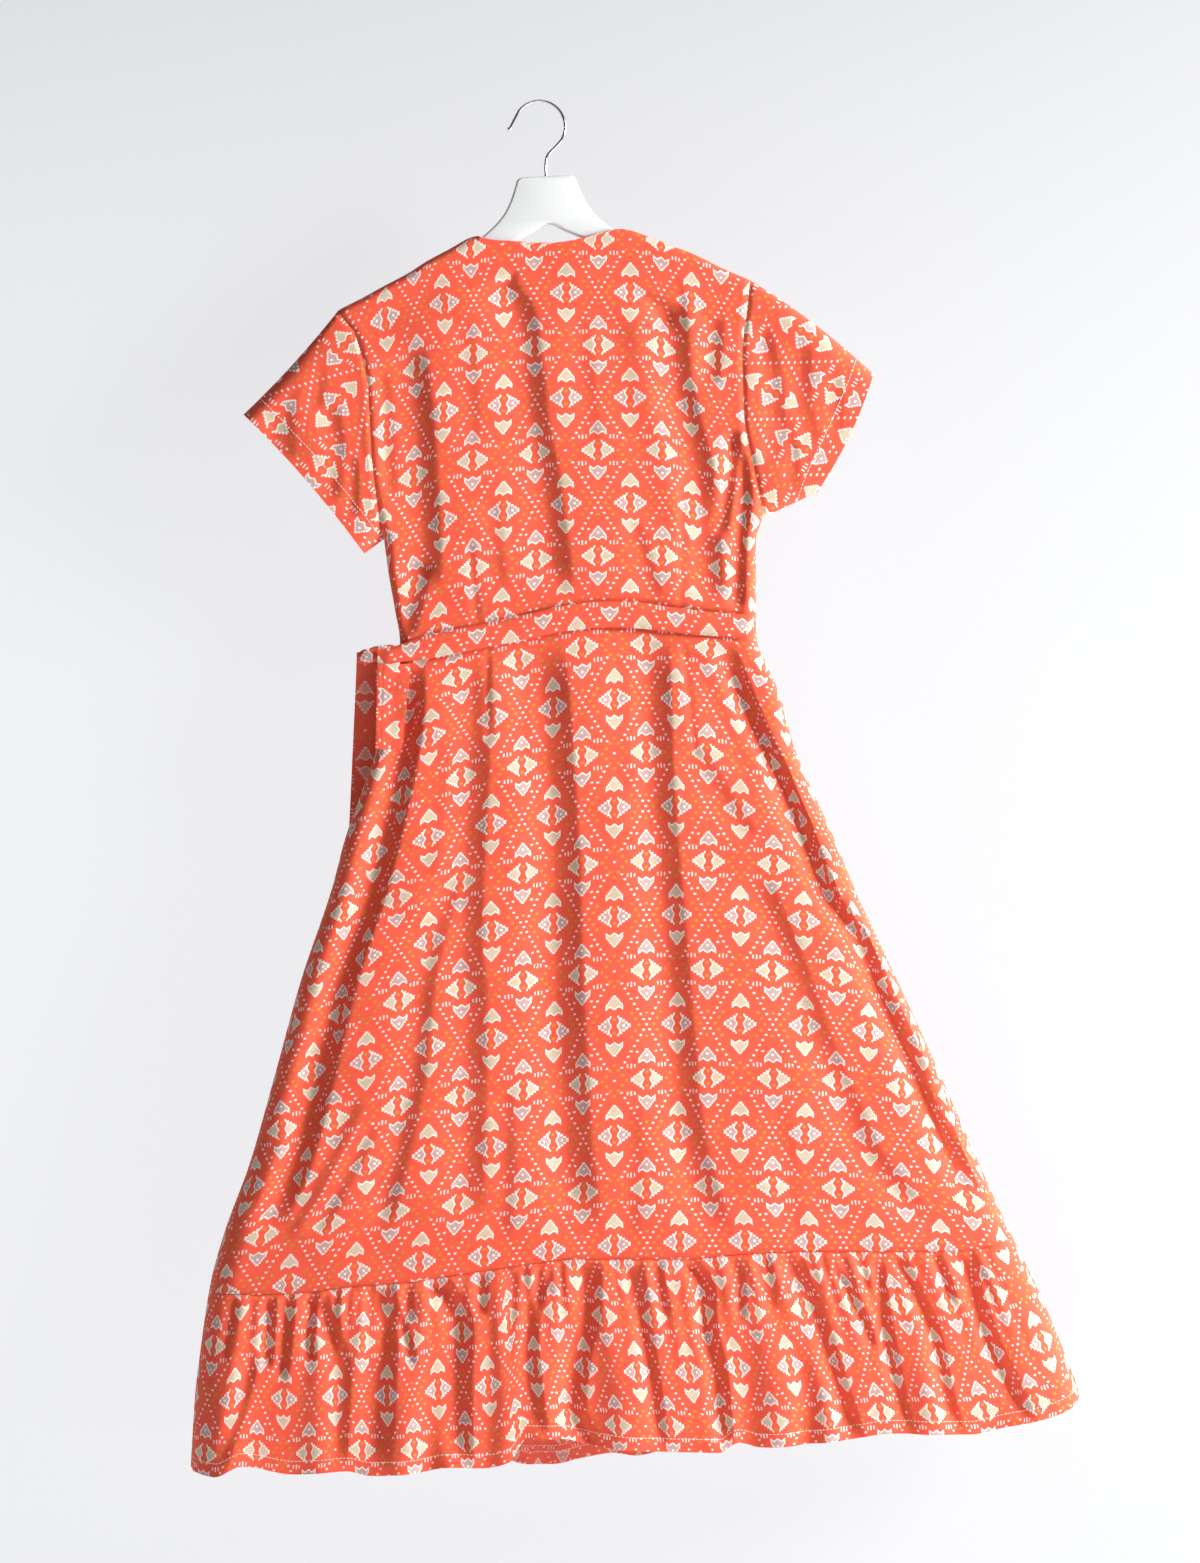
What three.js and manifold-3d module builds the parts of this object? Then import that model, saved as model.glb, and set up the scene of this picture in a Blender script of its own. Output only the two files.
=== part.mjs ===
// A short-sleeved midi wrap dress with a gathered hem ruffle, hanging on a wooden hanger.
// Millimetres, +Z up, +X to the right seen from the dress's back, which faces -Y.
// The origin is the underside of the top of the hanger's hook, where a nail or a rod holds it.
// Every cloth piece is a thin wall on a middle surface: an outline in X and Z, and a depth in Y.
import * as THREE from 'three'
import { mergeVertices } from 'three/addons/utils/BufferGeometryUtils.js'
import Module from 'manifold-3d'

const wasm = await Module()
wasm.setup()

const clamp01 = (t) => Math.min(1, Math.max(0, t))
const lerp = (a, b, t) => a + (b - a) * t
// 0 below a, 1 above b, with soft ends.
const smooth = (a, b, t) => {
  const s = clamp01((t - a) / (b - a))
  return s * s * (3 - 2 * s)
}
// A quarter ellipse: it leaves 0 steeply and levels off at 1.
const dome = (t) => Math.sqrt(1 - (1 - clamp01(t)) ** 2)

// Driving dimensions.
const clothWall = 1.2
const beltWall = 1.8
const beltWidth = 22.5
const seamGap = 0.3
const wrapGap = 2.6
const wrapGapAtHem = 3.8
const shoulderRamp = 7
const underarmRamp = 30
const frontSide = 1
const backSide = -1

// Level sections of the body, from the shoulders to the hem: the two outline edges, the half
// depth between back and front, and the width over which each side rounds over to that depth.
const bodySections = [
  { z: -171.4, left: -191.2, right: 203.3, depth: 8.5, ramp: 16 },
  { z: -200, left: -191, right: 200.5, depth: 9.5, ramp: 16 },
  { z: -220, left: -177, right: 197.3, depth: 11, ramp: 16 },
  { z: -245, left: -168, right: 195.8, depth: 12.5, ramp: 16 },
  { z: -270, left: -162.8, right: 196.3, depth: 14, ramp: 16 },
  { z: -305, left: -160.6, right: 197.6, depth: 15.5, ramp: 16 },
  { z: -340, left: -158.8, right: 203.7, depth: 16.5, ramp: 16 },
  { z: -384, left: -153.8, right: 213, depth: 16, ramp: 15 },
  { z: -398, left: -152, right: 215, depth: 15.5, ramp: 15 },
  { z: -419, left: -148.4, right: 209.4, depth: 15, ramp: 14 },
  { z: -450, left: -144.2, right: 209.2, depth: 13.5, ramp: 14 },
  { z: -490, left: -137.2, right: 209.2, depth: 12.5, ramp: 14 },
  { z: -517, left: -133, right: 210.2, depth: 12.5, ramp: 14 },
  { z: -535, left: -133, right: 217.3, depth: 13, ramp: 14 },
  { z: -566, left: -140, right: 231, depth: 14.5, ramp: 15 },
  { z: -620, left: -155, right: 246.5, depth: 17.5, ramp: 17 },
  { z: -707, left: -185.6, right: 284.5, depth: 21, ramp: 20 },
  { z: -755, left: -198.4, right: 304, depth: 23, ramp: 21 },
  { z: -842, left: -227.7, right: 344.5, depth: 26, ramp: 23 },
  { z: -928, left: -251.5, right: 383.7, depth: 28, ramp: 25 },
  { z: -1018, left: -277, right: 423, depth: 30, ramp: 27 },
  { z: -1085, left: -301.5, right: 453.3, depth: 31, ramp: 28 },
  { z: -1135, left: -315, right: 478, depth: 32, ramp: 28 },
  { z: -1210, left: -326, right: 509, depth: 35, ramp: 30 },
  { z: -1240, left: -329.5, right: 519, depth: 36, ramp: 30 },
  { z: -1314, left: -334, right: 521, depth: 38, ramp: 30 },
]
const leftUnderarm = -419
const rightUnderarm = -398
const leftTip = { x: -191.2, z: -199.6 }
const rightTip = { x: 203.3, z: -171.4 }
const leftNeck = { x: -59.2, z: -128.9 }
const rightNeck = { x: 78.1, z: -121.9 }

// The two shoulder lines and the back neckline between them.
const shoulderPoints = [
  { x: leftTip.x, z: leftTip.z }, { x: -169, z: -188.5 }, { x: -151.9, z: -179 },
  { x: -123, z: -163.5 }, { x: -107.7, z: -153.6 }, { x: -85.6, z: -141.6 },
  { x: leftNeck.x, z: leftNeck.z }, { x: rightNeck.x, z: rightNeck.z },
  { x: 108, z: -130 }, { x: 129, z: -138.5 }, { x: 150, z: -146.5 },
  { x: 174.4, z: -158.7 }, { x: rightTip.x, z: rightTip.z },
]
const necklinePoints = [
  { x: leftNeck.x, z: leftNeck.z }, { x: -46.8, z: -132.6 }, { x: -23.8, z: -134.3 },
  { x: 9.4, z: -135.7 }, { x: 23, z: -135 }, { x: 38.6, z: -132 },
  { x: 59.3, z: -126.6 }, { x: rightNeck.x, z: rightNeck.z },
]
const waistPoints = [
  { x: -140, z: -528 }, { x: -122, z: -525.3 }, { x: -92, z: -519.5 }, { x: -55, z: -512.4 },
  { x: -14, z: -504.3 }, { x: 20, z: -497.2 }, { x: 65, z: -493.2 }, { x: 92, z: -494 },
  { x: 131, z: -498.5 }, { x: 166, z: -501.7 }, { x: 198, z: -503.6 }, { x: 215, z: -505 },
]
const ruffleSeamPoints = [
  { x: -320, z: -1139 }, { x: -268, z: -1141 }, { x: -223, z: -1139 }, { x: -173, z: -1133 },
  { x: -132, z: -1130 }, { x: -96, z: -1125 }, { x: -62, z: -1120 }, { x: -30, z: -1115.5 },
  { x: 3, z: -1110.5 }, { x: 38, z: -1107 }, { x: 138, z: -1107 }, { x: 189, z: -1103 },
  { x: 251, z: -1100 }, { x: 395, z: -1100 }, { x: 431, z: -1095 }, { x: 460, z: -1084 },
]
const frontSeamPoints = [
  { x: -320, z: -1139 }, { x: -150, z: -1130 }, { x: 100, z: -1114 }, { x: 300, z: -1101 },
  { x: 460, z: -1084 },
]
const backHemPoints = [
  { x: -340, z: -1307 }, { x: -308, z: -1313 }, { x: -282, z: -1303 }, { x: -233, z: -1311 },
  { x: -181, z: -1308 }, { x: -160, z: -1312 }, { x: -112, z: -1309 }, { x: -82, z: -1304 },
  { x: -52, z: -1305 }, { x: -27, z: -1299 }, { x: -10, z: -1277 }, { x: 20, z: -1277 },
  { x: 50, z: -1283 }, { x: 95, z: -1288 }, { x: 173, z: -1290 }, { x: 191, z: -1281 },
  { x: 212, z: -1285 }, { x: 294, z: -1278 }, { x: 336, z: -1272 }, { x: 411, z: -1273 },
  { x: 447, z: -1266 }, { x: 476, z: -1260 }, { x: 504, z: -1251 }, { x: 525, z: -1238 },
]
const frontHemPoints = [
  { x: -340, z: -1305 }, { x: -200, z: -1302 }, { x: -90, z: -1298 }, { x: -40, z: -1306 },
  { x: -7, z: -1313 }, { x: 11, z: -1313 }, { x: 42, z: -1306 }, { x: 70, z: -1302 },
  { x: 93, z: -1305 }, { x: 116, z: -1300 }, { x: 140, z: -1291 }, { x: 200, z: -1276 },
  { x: 300, z: -1270 }, { x: 400, z: -1264 }, { x: 480, z: -1250 }, { x: 525, z: -1237 },
]

// The free edges of the two wrap fronts: x down to the waist, and from there to the hem the
// share of the body's width that lies to the left of the edge.
const outerFrontEdge = [
  { z: rightNeck.z, x: rightNeck.x }, { z: -200, x: 62 }, { z: -290, x: 30 },
  { z: -380, x: -32 }, { z: -450, x: -85 }, { z: -523, x: -119 },
]
const innerFrontEdge = [
  { z: leftNeck.z, x: leftNeck.x }, { z: -200, x: -45 }, { z: -290, x: -10 },
  { z: -380, x: 70 }, { z: -450, x: 145 }, { z: -506, x: 196 },
]
const skirtEdges = [
  { z: -500, outer: 0.041, inner: 0.959 }, { z: -700, outer: 0.06, inner: 0.94 },
  { z: -900, outer: 0.082, inner: 0.918 }, { z: -1080, outer: 0.1, inner: 0.9 },
]

// Folds: a trough runs from (x0, z0) to (x1, z1), bowed sideways by bow in its middle. depth is
// how far it sinks into the cloth, and left and right are the widths of its two flanks.
const backFolds = [
  { x0: 27, z0: -550, x1: 43, z1: -1095, bow: 0, depth: 5, left: 30, right: 11 },
  { x0: 134, z0: -612, x1: 170, z1: -1065, bow: -9, depth: 4, left: 26, right: 10 },
  { x0: -76, z0: -700, x1: -150, z1: -1091, bow: 0, depth: 5, left: 26, right: 11 },
  { x0: -52, z0: -708, x1: -57, z1: -1101, bow: 0, depth: 2, left: 14, right: 10 },
  { x0: -117, z0: -545, x1: -239, z1: -1039, bow: 10, depth: 6, left: 20, right: 12 },
  { x0: 183, z0: -527, x1: 397, z1: -1005, bow: -6, depth: 6.5, left: 18, right: 11 },
  { x0: 192, z0: -620, x1: 291, z1: -827, bow: 0, depth: 3, left: 12, right: 8 },
  { x0: 224, z0: -763, x1: 320, z1: -1005, bow: 0, depth: 3, left: 18, right: 11 },
  { x0: -108, z0: -312, x1: -115, z1: -500, bow: 9, depth: 3, left: 18, right: 10 },
  { x0: -27, z0: -150, x1: 17, z1: -439, bow: 6, depth: 2.6, left: 22, right: 10 },
  { x0: 118, z0: -181, x1: 175, z1: -488, bow: -5, depth: 3.6, left: 24, right: 9 },
  { x0: 190, z0: -345, x1: 190, z1: -488, bow: -6, depth: 3, left: 12, right: 8 },
]
const frontFolds = [
  { x0: -60, z0: -545, x1: -120, z1: -1080, bow: 6, depth: 3.6, left: 34, right: 48 },
  { x0: 20, z0: -570, x1: 10, z1: -1095, bow: -5, depth: 3, left: 30, right: 46 },
  { x0: 100, z0: -540, x1: 150, z1: -1060, bow: 8, depth: 4, left: 32, right: 46 },
  { x0: 170, z0: -600, x1: 290, z1: -1080, bow: -6, depth: 3.8, left: 30, right: 42 },
  { x0: 130, z0: -230, x1: 60, z1: -470, bow: 8, depth: 2.4, left: 28, right: 36 },
  { x0: -105, z0: -240, x1: -30, z1: -480, bow: -8, depth: 2.4, left: 34, right: 28 },
]
const sleeveFolds = [
  { x0: -190, z0: -290, x1: -188, z1: -385, bow: 6, depth: 3, left: 12, right: 8 },
  { x0: -222, z0: -262, x1: -232, z1: -345, bow: -5, depth: 2.4, left: 14, right: 9 },
  { x0: 222, z0: -215, x1: 236, z1: -352, bow: 8, depth: 3, left: 12, right: 8 },
  { x0: 262, z0: -232, x1: 272, z1: -330, bow: -5, depth: 2.4, left: 14, right: 9 },
]

// Gathers along the ruffle's seam, and the fewer, larger waves that they open into at the hem.
const ruffle = {
  gathers: 38, hemWaves: 14, seamHeight: 0.9, gatherHeight: 2.2, hemHeight: 6.5,
  backColumns: 120, frontColumns: 100,
}

// Sleeves: the cuff's upper and lower corners, how far the top edge and the cuff bow outwards,
// and the half depth at the cuff.
const sleeves = [
  { name: 'sleeve_left', side: -1, armhole: 'left', tip: leftTip, underarm: leftUnderarm,
    cuffTop: { x: -282.5, z: -300 }, cuffLow: { x: -167.2, z: -432.5 },
    topBow: -2.5, cuffBow: 4, depth: 17 },
  { name: 'sleeve_right', side: 1, armhole: 'right', tip: rightTip, underarm: rightUnderarm,
    cuffTop: { x: 321, z: -260.9 }, cuffLow: { x: 267.6, z: -373.9 },
    topBow: 4, cuffBow: -5, depth: 17 },
]

// Where the grids have their rows and columns, as fractions: closer together at rounded edges.
const armholeRows = [0, 0.006, 0.018, 0.036, 0.12, 0.25, 0.4, 0.55, 0.7, 0.83, 0.92, 0.97, 1]
const sideRows = [0, 0.2, 0.4, 0.6, 0.8]
// The back bodice's columns, as X at the top edge, close together beside both neck points.
const backStations = [
  leftTip.x, -188.5, -182, -165, -145, -125, -105, -85, -68, leftNeck.x, -56.5, -51, -38, -20, 0,
  20, 38, 54, 70, 76.2, rightNeck.x, 92, 110, 130, 150, 172, 194, 200.5, rightTip.x,
]
const frontColumns = edged(17, 0.01, 0.03)
const skirtColumns = edged(38, 0.008, 0.022)
const frontSkirtColumns = edged(24, 0.01, 0.026)
const skirtRows = evenly(11)
const frontSkirtRows = evenly(8)
const ruffleRows = [0, 0.18, 0.42, 0.7, 1]
const frontRuffleRows = [0, 0.22, 0.55, 1]
const sleeveRows = evenly(5)

// The hanger, in its own upright frame: x from the stem's axis, z from the hook's hold point.
const hanger = {
  tilt: THREE.MathUtils.degToRad(-2.7), stemX: 4.05, thickness: 12, bevel: 2,
  neckTop: -71.5, neckHalf: 29, corner: 6, shoulderX: 66, shoulderZ: -128, tipX: 185,
  armSlope: 0.478, notchZ: -117.3, undersideSlope: 0.466, tipRound: 8,
}
const hook = { wire: 3, loopRadius: 24.6, loopX: -4, loopZ: -23.1, stemX: 0, stemEnd: -86, ball: 2.6 }

// The tie: the belt's left end, the wound turn behind it, and the two tails. A tail's y runs from
// its top to its low end, leaving the top quickly and settling.
const beltEnds = { left: -153.4, right: 199, leavesBodyAt: -112 }
const turn = {
  x: -155.5, z: -529.5, y: -5.3, halfWidth: 18.5, halfHeight: 7.5, halfDepth: 8.6, slope: 4.5,
}
const tails = {
  short: { topLeft: -153.4, topRight: -122, lowLeft: -154.8, lowRight: -129.8, top: -539.6,
    low: -621, y: -15.2, lowY: -20.6, crease: 0.14 },
  long: { topLeft: -174.4, topRight: -140, lowLeft: -188, lowRight: -151, top: -528,
    low: -790, y: 3.1, lowY: 34, crease: 0.5 },
}

function evenly(count) {
  return Array.from({ length: count + 1 }, (_, i) => i / count)
}

// Evenly spaced fractions with two closer ones, first and second, inside each end.
function edged(count, first, second) {
  const inner = evenly(count - 4).map((t) => lerp(second, 1 - second, t))
  return [0, first, ...inner, 1 - first, 1]
}

// A smooth curve through a table's rows, giving the column value for a number in the column by.
// Its slope at a row is the harmonic mean of its neighbours' slopes, so it never overshoots.
function track(rows, by, value) {
  const table = [...rows].sort((a, b) => a[by] - b[by])
  const last = table.length - 1
  const slopes = table.slice(1).map((row, i) => (
    (row[value] - table[i][value]) / (row[by] - table[i][by])
  ))
  const tangents = table.map((_, i) => {
    if (i === 0) return slopes[0]
    if (i === last) return slopes[last - 1]
    const product = slopes[i - 1] * slopes[i]
    return product <= 0 ? 0 : 2 * product / (slopes[i - 1] + slopes[i])
  })
  return (at) => {
    if (at <= table[0][by]) return table[0][value]
    if (at >= table[last][by]) return table[last][value]
    const i = table.findIndex((row) => row[by] > at) - 1
    const step = table[i + 1][by] - table[i][by]
    const t = (at - table[i][by]) / step
    const rise = table[i + 1][value] - table[i][value]
    const start = tangents[i] * step
    const end = tangents[i + 1] * step
    return table[i][value] + t * start + t * t * (3 * rise - 2 * start - end)
      + t * t * t * (start + end - 2 * rise)
  }
}

const edgeX = { left: track(bodySections, 'z', 'left'), right: track(bodySections, 'z', 'right') }
const depthAt = track(bodySections, 'z', 'depth')
const rampAt = track(bodySections, 'z', 'ramp')
const shoulderZ = track(shoulderPoints, 'x', 'z')
const necklineZ = track(necklinePoints, 'x', 'z')
const waistZ = track(waistPoints, 'x', 'z')
const ruffleSeamZ = track(ruffleSeamPoints, 'x', 'z')
const backHemZ = track(backHemPoints, 'x', 'z')
const frontHemZ = track(frontHemPoints, 'x', 'z')
const frontSeamZ = track(frontSeamPoints, 'x', 'z')
const freeEdgeX = { outer: freeEdge(outerFrontEdge, 'outer'), inner: freeEdge(innerFrontEdge, 'inner') }

// A wrap front's free edge: its own line above the waist, a share of the width below it.
function freeEdge(line, layer) {
  const above = track(line, 'z', 'x')
  const share = track(skirtEdges, 'z', layer)
  const waist = line.at(-1).z
  return (z) => (z > waist ? above(z) : lerp(edgeX.left(z), edgeX.right(z), share(z)))
}

// The ridge that the cloth hangs from: the shoulder lines, and over the open neck a steep
// bridge, so that the cloth reaches its full depth a few millimetres inside the neck points.
function ridgeZ(x) {
  if (x <= leftNeck.x || x >= rightNeck.x) return shoulderZ(x)
  return shoulderZ(x) + 1.2 * Math.min(x - leftNeck.x, rightNeck.x - x, 10)
}

// Half depth of the body at a point of its outline: full inside, rounding over to half a seam
// at the sides below the underarms and at the shoulders.
function bodyDepth(x, z) {
  const ramp = rampAt(z)
  const left = dome((x - edgeX.left(z)) / ramp + Math.max(0, z - leftUnderarm) / underarmRamp)
  const right = dome((edgeX.right(z) - x) / ramp + Math.max(0, z - rightUnderarm) / underarmRamp)
  const shoulder = dome((ridgeZ(x) - z) / shoulderRamp)
  return seamGap / 2 + (depthAt(z) - seamGap / 2) * left * right * shoulder
}

// How deep a table of folds sinks at a point: an uneven bell across each trough, fading at
// its ends.
function foldDepth(folds, x, z) {
  let sum = 0
  for (const fold of folds) {
    const along = (z - fold.z0) / (fold.z1 - fold.z0)
    if (along <= 0 || along >= 1) continue
    const centre = lerp(fold.x0, fold.x1, along) + fold.bow * 4 * along * (1 - along)
    const across = (x - centre) / (x < centre ? fold.left : fold.right)
    const fade = smooth(0, 0.18, along) * smooth(0, 0.16, 1 - along)
    sum += fold.depth * fade * Math.exp(-across * across)
  }
  return sum
}

// Folds die out near the sides, the hanger, the waist seam under the belt and the ruffle seam.
function bodyFold(folds, x, z) {
  const side = Math.min(x - edgeX.left(z), edgeX.right(z) - x)
  const quiet = smooth(0, 30, side) * smooth(28, 75, ridgeZ(x) - z)
    * smooth(13, 45, Math.abs(z - waistZ(x))) * smooth(0, 25, z - ruffleSeamZ(x))
  return quiet * foldDepth(folds, x, z)
}

// Waves of the ruffle: many small gathers at its seam that open into fewer waves at the hem.
function ruffleWave(x, z, hemZ) {
  const down = clamp01((ruffleSeamZ(x) - z) / (ruffleSeamZ(x) - hemZ(x)))
  const across = (x - edgeX.left(z)) / (edgeX.right(z) - edgeX.left(z))
  const turn = 2 * Math.PI
  const gatherPhase = turn * (ruffle.gathers * across + 0.3 * Math.sin(turn * 5.3 * across))
  const wavePhase = turn * (ruffle.hemWaves * across + 0.35 * Math.sin(turn * 2.6 * across + 1))
  const opened = smooth(0.1, 0.9, down)
  const gather = lerp(ruffle.seamHeight, ruffle.gatherHeight, smooth(0, 0.25, down))
  const side = Math.min(x - edgeX.left(z), edgeX.right(z) - x)
  const wave = (1 - opened) * gather * Math.cos(gatherPhase)
    + opened * ruffle.hemHeight * Math.cos(wavePhase)
  return wave * smooth(0, 30, side)
}

// The wrap: at the left side seam the inner front lies on the body's depth and the outer front
// outside it, and at the right side seam it is the other way round.
function wrapOffset(layer, x, z) {
  const across = clamp01((x - edgeX.left(z)) / (edgeX.right(z) - edgeX.left(z)))
  const gap = lerp(wrapGap, wrapGapAtHem, smooth(-700, -1150, z))
  return layer === 'outer' ? gap * (1 - across) : -gap * across
}

// Y of each cloth layer at a point of the outline.
const layerY = {
  back: (x, z) => -(bodyDepth(x, z) - bodyFold(backFolds, x, z)),
  outer: (x, z) => bodyDepth(x, z) - bodyFold(frontFolds, x, z) + wrapOffset('outer', x, z),
  inner: (x, z) => bodyDepth(x, z) - bodyFold(frontFolds, x, z) + wrapOffset('inner', x, z),
}
const ruffleY = {
  back: (x, z) => layerY.back(x, z) - ruffleWave(x, z, backHemZ),
  outer: (x, z) => layerY.outer(x, z) + ruffleWave(x, z, frontHemZ),
  inner: (x, z) => layerY.inner(x, z) + ruffleWave(x, z, frontHemZ),
}

// A four-sided surface between edge curves that meet at its corners, each giving { x, z }:
// the two ruled surfaces added, less the one through the corners. y gives the depth.
function surface(columns, rows, { bottom, top, left, right, y }) {
  const corner = { a: bottom(0), b: bottom(1), c: top(0), d: top(1) }
  return rows.map((v) => columns.map((u) => {
    const at = (axis) => (1 - v) * bottom(u)[axis] + v * top(u)[axis]
      + (1 - u) * left(v)[axis] + u * right(v)[axis]
      - (1 - u) * (1 - v) * corner.a[axis] - u * (1 - v) * corner.b[axis]
      - (1 - u) * v * corner.c[axis] - u * v * corner.d[axis]
    const x = at('x')
    const z = at('z')
    return new THREE.Vector3(x, y(x, z), z)
  }))
}

// The unit normal of a grid at each point, from its neighbours along both ways.
function gridNormals(grid, round) {
  const lastRow = grid.length - 1
  const lastColumn = grid[0].length - 1
  return grid.map((row, i) => row.map((_, j) => {
    const up = grid[Math.min(i + 1, lastRow)][j].clone().sub(grid[Math.max(i - 1, 0)][j])
    const before = round ? (j + lastColumn) % (lastColumn + 1) : Math.max(j - 1, 0)
    const after = round ? (j + 1) % (lastColumn + 1) : Math.min(j + 1, lastColumn)
    const across = row[after].clone().sub(row[before])
    return across.cross(up).normalize()
  }))
}

// A closed wall on a grid: two skins half a wall to each side, and rims at the free edges.
// trim moves a rim point, given its row and column, onto its seam.
function wall(grid, { thickness = clothWall, round = false, trim = () => {} } = {}) {
  const rows = grid.length
  const columns = grid[0].length
  const normals = gridNormals(grid, round)
  const positions = []
  for (const side of [0.5, -0.5]) {
    for (let i = 0; i < rows; i += 1) {
      for (let j = 0; j < columns; j += 1) {
        const point = grid[i][j].clone().addScaledVector(normals[i][j], side * thickness)
        trim(point, i, j)
        positions.push(point.x, point.y, point.z)
      }
    }
  }
  const index = []
  const skin = rows * columns
  const vertex = (side, i, j) => side * skin + i * columns + (j % columns)
  const quad = (a, b, c, d) => index.push(a, b, c, a, c, d)
  const spans = round ? columns : columns - 1
  for (let i = 0; i < rows - 1; i += 1) {
    for (let j = 0; j < spans; j += 1) {
      quad(vertex(0, i, j), vertex(0, i, j + 1), vertex(0, i + 1, j + 1), vertex(0, i + 1, j))
      quad(vertex(1, i, j), vertex(1, i + 1, j), vertex(1, i + 1, j + 1), vertex(1, i, j + 1))
    }
  }
  for (let j = 0; j < spans; j += 1) {
    quad(vertex(0, 0, j), vertex(1, 0, j), vertex(1, 0, j + 1), vertex(0, 0, j + 1))
    const top = rows - 1
    quad(vertex(0, top, j), vertex(0, top, j + 1), vertex(1, top, j + 1), vertex(1, top, j))
  }
  if (!round) {
    const end = columns - 1
    for (let i = 0; i < rows - 1; i += 1) {
      quad(vertex(0, i, 0), vertex(0, i + 1, 0), vertex(1, i + 1, 0), vertex(1, i, 0))
      quad(vertex(0, i, end), vertex(1, i, end), vertex(1, i + 1, end), vertex(0, i + 1, end))
    }
  }
  const geometry = new THREE.BufferGeometry()
  geometry.setAttribute('position', new THREE.Float32BufferAttribute(positions, 3))
  geometry.setIndex(index)
  return facedOutwards(geometry)
}

// Turns every triangle round when the closed mesh's signed volume is negative.
function facedOutwards(geometry) {
  const position = geometry.attributes.position
  const index = geometry.index.array
  const [a, b, c] = [new THREE.Vector3(), new THREE.Vector3(), new THREE.Vector3()]
  let volume = 0
  for (let i = 0; i < index.length; i += 3) {
    a.fromBufferAttribute(position, index[i])
    b.fromBufferAttribute(position, index[i + 1])
    c.fromBufferAttribute(position, index[i + 2])
    volume += a.dot(b.cross(c))
  }
  if (volume < 0) {
    for (let i = 0; i < index.length; i += 3) {
      [index[i + 1], index[i + 2]] = [index[i + 2], index[i + 1]]
    }
  }
  return geometry
}

// The solid of a geometry for joining and cutting, and a geometry back from a solid.
function solidOf(geometry) {
  const bare = geometry.clone()
  bare.deleteAttribute('normal')
  bare.deleteAttribute('uv')
  const merged = mergeVertices(bare, 1e-4)
  return new wasm.Manifold(new wasm.Mesh({
    numProp: 3,
    vertProperties: new Float32Array(merged.attributes.position.array),
    triVerts: new Uint32Array(merged.index.array),
  }))
}

function geometryOf(solid) {
  const mesh = solid.getMesh()
  const geometry = new THREE.BufferGeometry()
  geometry.setAttribute('position', new THREE.Float32BufferAttribute(mesh.vertProperties, 3))
  geometry.setIndex([...mesh.triVerts])
  return geometry
}

const group = new THREE.Group()
const coral = 0xf35842

function addPiece(parent, name, geometry, { color = coral, roughness = 0.75, metalness = 0 } = {}) {
  geometry.computeVertexNormals()
  const material = new THREE.MeshStandardMaterial({ color, roughness, metalness })
  const mesh = new THREE.Mesh(geometry, material)
  mesh.name = name
  parent.add(mesh)
}

// The corner where a side edge meets a level line: a few rounds of looking one up by the other.
function cornerOf(edge, levelZ, startZ) {
  let z = startZ
  for (let i = 0; i < 12; i += 1) z = levelZ(edge(z))
  return { x: edge(z), z }
}

const inset = (clothWall + seamGap) / 2
const leftInset = (z) => edgeX.left(z) + inset
const rightInset = (z) => edgeX.right(z) - inset
const lineAt = (edge, from, to) => (t) => {
  const z = lerp(from, to, t)
  return { x: edge(z), z }
}
const levelAt = (from, to, levelZ, lift) => (t) => {
  const x = lerp(from, to, t)
  return { x, z: levelZ(x) + lift }
}

// Rows of a bodice edge: the side seam from the waist to the underarm, then the armhole. The
// last armhole row is the shoulder tip.
const bodiceRowCount = sideRows.length + armholeRows.length
function bodiceSide(edge, waistCorner, underarm, tip) {
  const heights = [
    ...sideRows.map((t) => lerp(waistCorner.z, underarm, t)),
    ...[...armholeRows].reverse().map((t) => lerp(tip.z, underarm, t)),
  ]
  return heights.map((z) => ({ x: edge(z), z }))
}

const bodiceRows = evenly(bodiceRowCount - 1)
const pickRow = (points) => (v) => points[Math.round(v * (points.length - 1))]

// Snaps a rim point of a body panel to its seams.
function bodyTrim(ySide, { leftSeam, rightSeam, topZ, bottomZ, shoulder }, lastRow, lastColumn) {
  const half = seamGap / 2
  return (point, i, j) => {
    const seamY = () => { point.y = ySide * half }
    if (j === 0 && leftSeam) {
      if (point.z > leftUnderarm + 1) point.x = edgeX.left(point.z) + half
      else seamY()
    }
    if (j === lastColumn && rightSeam) {
      if (point.z > rightUnderarm + 1) point.x = edgeX.right(point.z) - half
      else seamY()
    }
    if (i === 0 && bottomZ) point.z = bottomZ(point.x) + half
    if (i === lastRow && topZ) point.z = topZ(point.x) - half
    if (i === lastRow && shoulder && shoulder(point.x)) seamY()
  }
}

const waistLeft = cornerOf(leftInset, waistZ, -527)
const waistRight = cornerOf(rightInset, waistZ, -505)
const half = seamGap / 2
const lift = (point, by) => ({ x: point.x, z: point.z + by })

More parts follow.
